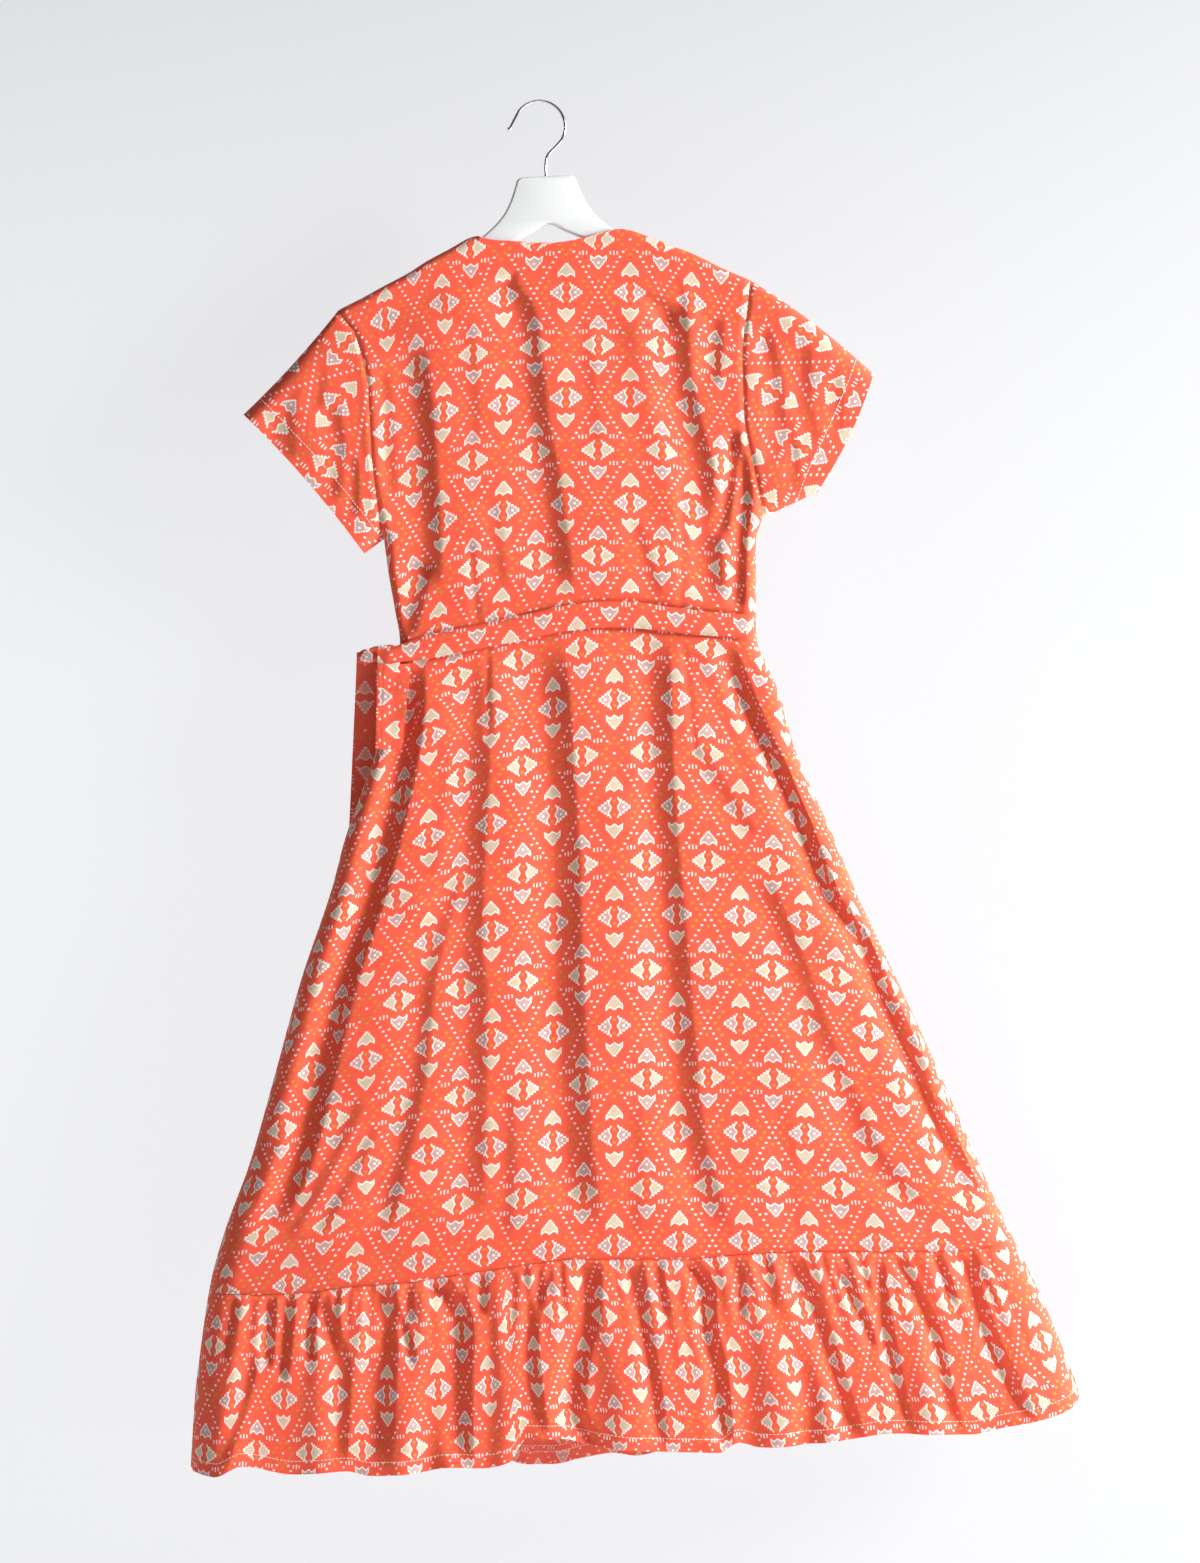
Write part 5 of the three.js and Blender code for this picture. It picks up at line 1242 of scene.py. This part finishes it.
def print_group():
    """The woven-look repeat. In a unit of 0.96 mm, a cell is 66 wide and 107 high, with a second
    motif half a cell across and up. Both motifs are a pair of half diamonds between two arrows;
    dots and dashes fill the ground. Distances are worked out in one quarter of a motif."""
    if "ikat_repeat" in bpy.data.node_groups:
        return bpy.data.node_groups["ikat_repeat"]
    colours = ["Ground", "Cream", "Grey", "Ochre", "White"]
    tree, start, end = node_group(
        "ikat_repeat", [("Place", "NodeSocketVector")] + [(label, "NodeSocketColor") for label in colours],
        [("Color", "NodeSocketColor"), ("Ink", "NodeSocketFloat")])
    noise = tree.nodes.new("ShaderNodeTexNoise")
    noise.noise_dimensions = "2D"
    noise.inputs["Scale"].default_value = 620
    noise.inputs["Detail"].default_value = 1
    tree.links.new(start.outputs["Place"], noise.inputs["Vector"])
    shake, place = (tree.nodes.new("ShaderNodeSeparateXYZ") for _ in range(2))
    tree.links.new(noise.outputs["Color"], shake.inputs[0])
    tree.links.new(start.outputs["Place"], place.inputs[0])
    unit_size = 1 / (PRINT_PIXEL * MM)
    u = Wire(tree, place.outputs["X"]) * unit_size + (Wire(tree, shake.outputs["X"]) - 0.5) * 1.0
    v = Wire(tree, place.outputs["Y"]) * unit_size + (Wire(tree, shake.outputs["Y"]) - 0.5) * 0.8
    a = u.wrapped(CELL_HALF_WIDTH).size()
    b = v.wrapped(CELL_HALF_HEIGHT).size()
    second = 1 - (a * (1 / CELL_HALF_WIDTH) + b * (1 / CELL_HALF_HEIGHT)).below(1)
    dx = (a - second * CELL_HALF_WIDTH).size()
    dy = (b - second * CELL_HALF_HEIGHT).size()
    row = dy.math("SNAP", 2.0) + 1.0
    waist = 3.8 - (dy * (2 * math.pi / 10)).math("COSINE") * 1.2
    diamond = ((dx * (1 / 17.8) + row * (1 / 12.2) - 1) * 10).top(waist - dx)
    notch = 18.3 - (dx - 4.4).size() * 0.65
    arrow = ((dx * (10.5 / 13.7) + (row - 31) * (8.8 / 13.7)).top(dx - 8.8)).top((notch - dy) * 0.85)

    def spot(x, y, centre_x, centre_y, half_x, half_y):
        """A filled ellipse: 1 where the squares' sum is below 1."""
        across, up = (x - centre_x) * (1 / half_x), (y - centre_y) * (1 / half_y)
        return (across * across + up * up).below(1)

    def dotted(step_x, step_y, x0, y0, last, size):
        """Spots on a slanting row: the nearest one's number is the rounded share of the rise."""
        number = ((b - y0) * (1 / step_y)).math("ROUND").top(0).low(last)
        return spot(a, b, number * step_x + x0, number * step_y + y0, *size)
    white = dotted(-3.2, 5.15, 33, 0, 8, WHITE_DOT)
    white = white.top(spot(a, b, 23, 26.5, *WHITE_DOT)).top(spot(a, b, 0, 53.5, *WHITE_DOT))
    dash = (dx - 16).size()
    inner_dash = dash.below(0.75) * (dy - 13.5).size().below(2.3)
    outer_dash = (dash - 3.6).size().below(0.75) * (dy - 13.5).size().below(1.7)
    white = white.top(inner_dash.top(outer_dash) * second)
    ochre = dotted(-3.7, 5.75, 25, 0, 2, OCHRE_DOT).top(spot(a, b, 33, 11.5, *OCHRE_DOT))
    ochre = ochre.top(dotted(4.1, 5, 0, 38.5, 3, OCHRE_DOT)).top(spot(dx, dy, 0, 6.5, 1.6, 1.3))
    border = diamond.below(0).top(arrow.below(0))
    inside_diamond, inside_arrow = diamond.below(-1.45), arrow.below(-1.3)
    grey_fill = inside_diamond * (1 - second) + inside_arrow * second
    cream_fill = inside_diamond * second + inside_arrow * (1 - second)
    grey_spot = (spot(dx, dy, 9.5, 0, 1.3, 1.3) * (1 - second)).top(spot(dx, dy, 0, 23.5, 1.3, 1.3) * second)
    colour = start.outputs["Ground"]
    for mask, label in ((ochre, "Ochre"), (white * 0.9, "White"), (border, "White"), (grey_fill, "Grey"),
                        (cream_fill, "Cream"), (grey_spot, "White")):
        colour = blend(tree, mask, colour, start.outputs[label])
    tree.links.new(colour, end.inputs["Color"])
    tree.links.new(white.top(ochre).top(border).socket, end.inputs["Ink"])
    return tree


def weave_group():
    """Plain weave: crossing sine waves of one thread each, and a slow slub in the tone."""
    if "plain_weave" in bpy.data.node_groups:
        return bpy.data.node_groups["plain_weave"]
    tree, start, end = node_group(
        "plain_weave", [("Place", "NodeSocketVector"), ("Thread", "NodeSocketFloat")],
        [("Height", "NodeSocketFloat"), ("Slub", "NodeSocketFloat")])
    place = tree.nodes.new("ShaderNodeSeparateXYZ")
    tree.links.new(start.outputs["Place"], place.inputs[0])
    thread = Wire(tree, start.outputs["Thread"])
    waves = [(Wire(tree, place.outputs[axis]) * (2 * math.pi)).math("DIVIDE", thread).math("SINE")
             for axis in ("X", "Y")]
    height = waves[0] * waves[1]
    noise = tree.nodes.new("ShaderNodeTexNoise")
    stretch = tree.nodes.new("ShaderNodeMapping")
    stretch.inputs["Scale"].default_value = (30, 420, 1)
    noise.inputs["Scale"].default_value = 1
    noise.inputs["Detail"].default_value = 3
    tree.links.new(start.outputs["Place"], stretch.inputs["Vector"])
    tree.links.new(stretch.outputs["Vector"], noise.inputs["Vector"])
    tree.links.new(height.socket, end.inputs["Height"])
    tree.links.new(noise.outputs["Fac"], end.inputs["Slub"])
    return tree


def plain_material(name, colour, roughness, metallic=0.0):
    """A material of one even colour, made once for its name."""
    material = bpy.data.materials.get(name) or bpy.data.materials.new(name)
    material.use_nodes = True
    shader = material.node_tree.nodes["Principled BSDF"]
    shader.inputs["Base Color"].default_value = (*colour, 1)
    shader.inputs["Roughness"].default_value = roughness
    shader.inputs["Metallic"].default_value = metallic
    return material


def thread_material():
    """The matt cream thread of the topstitching."""
    return plain_material("cream_thread", bpy.context.scene.dress_print.white, 0.7)


def placed_group(tree, group, **values):
    """A node of the group in the tree, its inputs set or linked by name."""
    node = tree.nodes.new("ShaderNodeGroup")
    node.node_tree = group
    for label, value in values.items():
        if isinstance(value, bpy.types.NodeSocket):
            tree.links.new(value, node.inputs[label])
        else:
            node.inputs[label].default_value = value
    return node


def cloth_material():
    """Printed plain-woven cloth: the repeat on the piece's flat coordinates, paler on its
    reverse, with a fine weave bump and a soft sheen."""
    if CLOTH in bpy.data.materials and bpy.data.materials[CLOTH].get("dressed"):
        return bpy.data.materials[CLOTH]
    dyes = bpy.context.scene.dress_print
    material = plain_material(CLOTH, dyes.ground, 0.78)
    material["dressed"] = True
    tree = material.node_tree
    shader = tree.nodes["Principled BSDF"]
    shader.inputs["Sheen Weight"].default_value = 0.03
    shader.inputs["Sheen Roughness"].default_value = 0.5
    shader.inputs["Specular IOR Level"].default_value = 0.15
    place = tree.nodes.new("ShaderNodeUVMap")
    place.uv_map = "cloth"
    spot = place.outputs["UV"]
    dyed = placed_group(tree, print_group(), Place=spot, Ground=(*dyes.ground, 1), Cream=(*dyes.cream, 1),
                        Grey=(*dyes.grey, 1), Ochre=(*dyes.ochre, 1), White=(*dyes.white, 1))
    woven = placed_group(tree, weave_group(), Place=spot, Thread=dyes.thread)
    hidden = tree.nodes.new("ShaderNodeAttribute")
    hidden.attribute_name = "inside"
    reverse = tree.nodes.new("ShaderNodeRGB")
    reverse.outputs[0].default_value = (*dyes.reverse, 1)
    # A darker tone of the ground where the yarn's slub is thick: the cloth's own colour.
    slub_tone = tree.nodes.new("ShaderNodeRGB")
    slub_tone.outputs[0].default_value = (*[part * 0.82 for part in dyes.ground], 1)
    slub = (Wire(tree, woven.outputs["Slub"]) - 0.42) * 0.55
    colour = blend(tree, slub.top(0), dyed.outputs["Color"], slub_tone.outputs[0])
    colour = blend(tree, Wire(tree, hidden.outputs["Fac"]) * 0.3, colour, reverse.outputs[0])
    tree.links.new(colour, shader.inputs["Base Color"])
    bump = tree.nodes.new("ShaderNodeBump")
    bump.inputs["Strength"].default_value = 0.25
    bump.inputs["Distance"].default_value = 0.0002
    tree.links.new(woven.outputs["Height"], bump.inputs["Height"])
    tree.links.new(bump.outputs["Normal"], shader.inputs["Normal"])
    return material


def wall_material(colour):
    """A matt backdrop with painted light and shade: it glows evenly from within in place of the light falling
    on it, and painted shade greys its glow towards its top. It is seen from the dress's side alone and holds
    back no light that comes from behind it."""
    material = plain_material("backdrop", [part * WALL_ALBEDO for part in colour], 0.95)
    tree = material.node_tree
    shader = tree.nodes["Principled BSDF"]
    shader.inputs["Specular IOR Level"].default_value = 0.0
    # Painted light: the wall's own glow stands in for the light that falls on it and softens the shadows on
    # it.
    shader.inputs["Emission Strength"].default_value = WALL_PAINTED_LIGHT
    place, height = tree.nodes.new("ShaderNodeTexCoord"), tree.nodes.new("ShaderNodeSeparateXYZ")
    tree.links.new(place.outputs["Object"], height.inputs[0])
    # Painted shade: the glow's colour goes grey towards the wall's top.
    pale, grey = (tree.nodes.new("ShaderNodeRGB") for _ in range(2))
    pale.outputs[0].default_value = (*colour, 1)
    grey.outputs[0].default_value = (*[part * 0.8 for part in colour], 1)
    share = (Wire(tree, height.outputs["Z"]) * 1.1 + 0.85).top(0).low(1)
    painted_glow = blend(tree, share * share, pale.outputs[0], grey.outputs[0])
    tree.links.new(painted_glow, shader.inputs["Emission Color"])
    path, face = tree.nodes.new("ShaderNodeLightPath"), tree.nodes.new("ShaderNodeNewGeometry")
    share = Wire(tree, path.outputs["Is Shadow Ray"]).top(Wire(tree, face.outputs["Backfacing"]))
    clear, mixed = tree.nodes.new("ShaderNodeBsdfTransparent"), tree.nodes.new("ShaderNodeMixShader")
    tree.links.new(share.socket, mixed.inputs["Fac"])
    tree.links.new(shader.outputs["BSDF"], mixed.inputs[1])
    tree.links.new(clear.outputs["BSDF"], mixed.inputs[2])
    tree.links.new(mixed.outputs["Shader"], tree.nodes["Material Output"].inputs["Surface"])
    return material


# ---- Properties ----------------------------------------------------------------------------------

def colour_property(name, description, default):
    """A colour that a user may change."""
    return bpy.props.FloatVectorProperty(name=name, description=description, default=default,
                                         subtype="COLOR", size=3, min=0, max=1)


class DressPrint(bpy.types.PropertyGroup):
    ground: colour_property("Ground", "The dyed ground of the cloth", linear(223, 84, 61))
    cream: colour_property("Cream", "Cream of the arrows and one pair of diamonds", linear(190, 174, 147))
    grey: colour_property("Grey", "Grey of the other diamonds and arrows", linear(176, 147, 142))
    ochre: colour_property("Ochre", "Ochre of the small dots", linear(182, 130, 48))
    white: colour_property("White", "White of the outlines, dots and dashes", linear(224, 213, 205))
    reverse: colour_property("Reverse", "The paler wrong side of the cloth", linear(236, 112, 92))
    thread: bpy.props.FloatProperty(name="Thread", description="Spacing of two threads of the weave",
                                    default=0.0009, min=0.0002, unit="LENGTH")


class DressCloth(bpy.types.PropertyGroup):
    thickness: bpy.props.FloatProperty(name="Thickness", description="Thickness of the hung cloth",
                                       default=0.0011, min=0.0005, max=0.0015, unit="LENGTH")
    folds: bpy.props.FloatProperty(name="Folds", description="Depth of the folds as a share",
                                   default=1.2, min=0, max=1.3, subtype="FACTOR")
    gather: bpy.props.FloatProperty(name="Gather",
                                    description="Cloth width of the ruffle for each seam width",
                                    default=1.45, min=1, max=1.8, subtype="FACTOR")


class DressHanger(bpy.types.PropertyGroup):
    paint: colour_property("Paint", "Paint of the board", linear(206, 208, 206))
    plating: colour_property("Plating", "Plating of the hook", (0.78, 0.78, 0.8))
    wire: bpy.props.FloatProperty(name="Wire", description="Diameter of the hook's wire",
                                  default=0.003, min=0.002, max=0.0035, unit="LENGTH")


class DressStage(bpy.types.PropertyGroup):
    backdrop: colour_property("Backdrop", "Colour of the wall and the floor", linear(243, 244, 247))
    distance: bpy.props.FloatProperty(name="Wall distance", description="From the hanger to the wall",
                                      default=0.1, min=0.06, unit="LENGTH")
    floor: bpy.props.FloatProperty(name="Floor", description="Height of the floor below the hook",
                                   default=-1.45, unit="LENGTH")
    key: bpy.props.FloatProperty(name="Key light", description="Power of the light from the right",
                                 default=214.0, min=0, unit="POWER")


# ---- Operators -----------------------------------------------------------------------------------

def cloth_piece(node, grid, flat, trim=None, ring=False, thickness=None):
    """Makes one cloth piece in place of its node."""
    cloth_material()
    size = thickness or bpy.context.scene.dress_cloth.thickness / MM
    piece = cloth_wall("cloth_" + node, grid, flat, size, trim, ring)
    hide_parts(node)
    return piece


class DRESS_OT_bodice(bpy.types.Operator):
    """Makes the back bodice and the two wrap fronts above the waist"""
    bl_idname = "dress.bodice"
    bl_label = "Bodice"

    def execute(self, context):
        def on_shoulder(x):
            """Where the back's top edge is a shoulder seam and not the neckline."""
            return (x < LEFT_NECK[0] + 0.5) | (x > RIGHT_NECK[0] - 0.5)
        grid = back_bodice_grid()
        piece = cloth_piece("back_bodice", grid, flat_cloth(grid, "back_bodice"),
                            seam_trim("back", True, True, low=waist_z, shoulder=on_shoulder))
        for layer in ("outer", "inner"):
            outer = layer == "outer"
            grid = front_bodice_grid(layer)
            piece = cloth_piece("front_bodice_" + layer, grid, flat_cloth(grid, "front"), seam_trim(
                layer, not outer, outer, low=waist_z, shoulder=lambda x: np.ones(x.shape, bool)))
        return {"FINISHED"}


class DRESS_OT_sleeves(bpy.types.Operator):
    """Makes the two short set-in sleeves"""
    bl_idname = "dress.sleeves"
    bl_label = "Sleeves"

    def execute(self, context):
        for node, shape in SLEEVES.items():
            ring, full = sleeve_grid(**shape)
            edge = left_x if shape["side"] < 0 else right_x

            def trim(skin, edge=edge, side=shape["side"]):
                """Puts a sleeve's first ring onto its armhole."""
                skin[0, :, 0] = edge(skin[0, :, 2]) + side * SEAM_HALF
            piece = cloth_piece(node, ring, sleeve_flat(node, full), trim, ring=True)
        return {"FINISHED"}


class DRESS_OT_skirt(bpy.types.Operator):
    """Makes the back of the skirt and its two wrap fronts"""
    bl_idname = "dress.skirt"
    bl_label = "Skirt"

    def execute(self, context):
        sizes = {"back": ((0.80, 0.62), 0.345), "outer": ((0.72, 0.62), 0.315),
                 "inner": ((0.72, 0.62), 0.315)}
        for layer, (flat, area) in sizes.items():
            node = "back_skirt" if layer == "back" else "front_skirt_" + layer
            grid = skirt_grid(layer)
            trim = seam_trim(layer, layer != "outer", layer != "inner", top=waist_z, low=seam_z[layer])
            place = "back_skirt" if layer == "back" else "front"
            piece = cloth_piece(node, grid, flat_cloth(grid, place), trim)
        return {"FINISHED"}


class DRESS_OT_ruffle(bpy.types.Operator):
    """Makes the gathered hem ruffle of the back and of both fronts"""
    bl_idname = "dress.ruffle"
    bl_label = "Ruffle"

    def execute(self, context):
        gather = context.scene.dress_cloth.gather
        for layer in ("back", "outer", "inner"):
            node = "back_ruffle" if layer == "back" else "front_ruffle_" + layer
            grid = ruffle_grid(layer)
            trim = seam_trim(layer, layer != "outer", layer != "inner", top=seam_z[layer])
            place = "back_ruffle" if layer == "back" else "front_ruffle"
            piece = cloth_piece(node, grid, ruffle_flat(grid, place, gather), trim)
        return {"FINISHED"}


class DRESS_OT_tie(bpy.types.Operator):
    """Makes the belt, the turn where the ties cross and the two tails"""
    bl_idname = "dress.tie"
    bl_label = "Belt and tie"

    def execute(self, context):
        points, quads, ends = turn_points()
        flat = turned(points[:, 0] - TURN["x"], points[:, 2] - TURN["z"], 20)
        turn = mesh_object("cloth_tie_turn", points, quads, caps=ends, corner_uv=flat[quads],
                           marks={"inside": np.zeros(len(points))}, angle=80)
        dress(turn, CLOTH, cloth_material())
        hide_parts("tie_turn")
        grid = belt_grid()
        level = grid - grid[len(grid) // 2] * np.array([0, 0, 1])
        belt = cloth_piece("belt", grid, flat_cloth(level, "belt"), thickness=BELT["wall"])
        for node, shape in TAILS.items():
            grid = tail_grid(**shape)
            piece = cloth_piece(node, grid, flat_cloth(grid, "tail"))
        return {"FINISHED"}


class DRESS_OT_stitching(bpy.types.Operator):
    """Makes the cream topstitching of the hems, the cuffs and the wrap edge"""
    bl_idname = "dress.stitching"
    bl_label = "Stitching"

    def execute(self, context):
        lift = context.scene.dress_cloth.thickness / MM / 2 + 0.12
        rows = []
        for layer, side, distances in (("back", -1, (12.5,)), ("outer", 1, (12.5,)), ("inner", -1, (12, 18))):
            for distance in distances:
                points, normals = path_in(ruffle_grid(layer), distance)
                rows.append(stitch_row(points, facing(normals, side), lift))
        stitches("hem_stitches", rows)
        rows = []
        for shape in SLEEVES.values():
            ring, _ = sleeve_grid(**shape)
            half = ring.shape[1] // 2
            for part, side in ((ring[:, 1:half], 1), (ring[:, half + 1:], -1)):
                points, normals = path_in(part[::-1], 22)
                rows.append(stitch_row(points, facing(normals, side), lift))
        stitches("cuff_stitches", rows)
        edge = [path_in(grid.swapaxes(0, 1), 7)
                for grid in (front_bodice_grid("outer"), skirt_grid("outer"))]
        stitches("wrap_edge_stitches", [stitch_row(points, facing(normals, 1), lift)
                                        for points, normals in edge])
        return {"FINISHED"}


class DRESS_OT_hanger(bpy.types.Operator):
    """Makes the painted board and the plated hook"""
    bl_idname = "dress.hanger"
    bl_label = "Hanger"

    def execute(self, context):
        sizes = context.scene.dress_hanger
        points, quads, caps = board_mesh()
        board = mesh_object("hanger_board", points, quads, caps=caps, angle=60)
        dress(board, "hanger_wood", plain_material("hanger_wood", sizes.paint, 0.42))
        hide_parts("hanger_body")
        points, quads, caps = hook_mesh(sizes.wire / MM)
        hook = mesh_object("hook", points, quads, caps=caps, angle=70)
        dress(hook, "hook_wire", plain_material("hook_wire", sizes.plating, 0.16, metallic=1.0))
        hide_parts("hanger_hook")
        return {"FINISHED"}


def sheet_of_stage(name, corners, material):
    """One flat face between its corners, as a piece of the stage."""
    mesh = bpy.data.meshes.new(name)
    mesh.from_pydata(corners, [], [tuple(range(len(corners)))])
    mesh.materials.append(material)
    item = bpy.data.objects.new(name, mesh)
    bpy.context.scene.collection.objects.link(item)


def area_light(name, place, target, size, power, colour):
    """A square light at place that shines on target."""
    data = bpy.data.lights.new(name, "AREA")
    data.size, data.energy, data.color = size, power, colour
    lamp = bpy.data.objects.new(name, data)
    lamp.location = place
    lamp.rotation_euler = look_at(place, target)
    bpy.context.scene.collection.objects.link(lamp)


def look_at(place, target):
    """The turn that points an object's -Z from place to target, with its Y up."""
    return (Vector(target) - Vector(place)).to_track_quat("-Z", "Y").to_euler()


class DRESS_OT_stage(bpy.types.Operator):
    """Makes the wall, the floor, the lights, the world and the camera"""
    bl_idname = "dress.stage"
    bl_label = "Stage"

    def execute(self, context):
        stage = context.scene.dress_stage
        reach, wall, floor, top = WALL_REACH, stage.distance, stage.floor, WALL_TOP
        sheet_of_stage("backdrop_wall", [(-reach, wall, floor), (reach, wall, floor),
                                         (reach, wall, top), (-reach, wall, top)],
                       wall_material(stage.backdrop))
        sheet_of_stage("pale_floor", [(-reach, -reach, floor), (reach, -reach, floor),
                                      (reach, reach, floor), (-reach, reach, floor)],
                       plain_material("pale_floor", stage.backdrop, 0.9))
        for name, place, size, share, colour in LIGHTS:
            area_light(name, place, LIGHTS_MEET, size, stage.key * share, colour)
        world = bpy.data.worlds.new("studio")
        world.use_nodes = True
        ground = world.node_tree.nodes["Background"]
        ground.inputs["Color"].default_value = WORLD_COLOUR
        ground.inputs["Strength"].default_value = WORLD_STRENGTH
        context.scene.world = world
        context.scene.view_settings.view_transform = "Standard"
        data = bpy.data.cameras.new("camera")
        data.sensor_fit, data.sensor_height, data.lens = "VERTICAL", CAMERA_SENSOR, CAMERA_LENS
        camera = bpy.data.objects.new("camera", data)
        camera.location = CAMERA_PLACE
        camera.rotation_euler = (math.pi / 2, 0, 0)
        context.scene.collection.objects.link(camera)
        context.scene.camera = camera
        return {"FINISHED"}


class DRESS_PT_panel(bpy.types.Panel):
    """Lists the steps that build the dress and the sizes and colours that they use"""
    bl_idname = "DRESS_PT_panel"
    bl_label = "Wrap dress"
    bl_space_type = "VIEW_3D"
    bl_region_type = "UI"
    bl_category = "Dress"

    def draw(self, context):
        for name in PROPERTY_GROUPS:
            group = getattr(context.scene, name)
            box = self.layout.box()
            for label in group.__annotations__:
                box.prop(group, label)
        for operator in OPERATORS:
            self.layout.operator(operator.bl_idname)


PROPERTY_GROUPS = {"dress_print": DressPrint, "dress_cloth": DressCloth, "dress_hanger": DressHanger,
                   "dress_stage": DressStage}
OPERATORS = (DRESS_OT_stage, DRESS_OT_hanger, DRESS_OT_bodice, DRESS_OT_sleeves, DRESS_OT_skirt,
             DRESS_OT_ruffle, DRESS_OT_tie, DRESS_OT_stitching)


def register():
    """Registers the classes and puts their properties on the scene."""
    for kind in (*PROPERTY_GROUPS.values(), *OPERATORS, DRESS_PT_panel):
        bpy.utils.register_class(kind)
    for name, kind in PROPERTY_GROUPS.items():
        setattr(bpy.types.Scene, name, bpy.props.PointerProperty(type=kind))


def unregister():
    """Takes the properties and the classes away again."""
    for name in PROPERTY_GROUPS:
        delattr(bpy.types.Scene, name)
    for kind in reversed((*PROPERTY_GROUPS.values(), *OPERATORS, DRESS_PT_panel)):
        bpy.utils.unregister_class(kind)


def main():
    """Builds everything in order."""
    register()
    for operator in OPERATORS:
        group, name = operator.bl_idname.split(".")
        getattr(getattr(bpy.ops, group), name)()


if __name__ == "__main__":
    main()
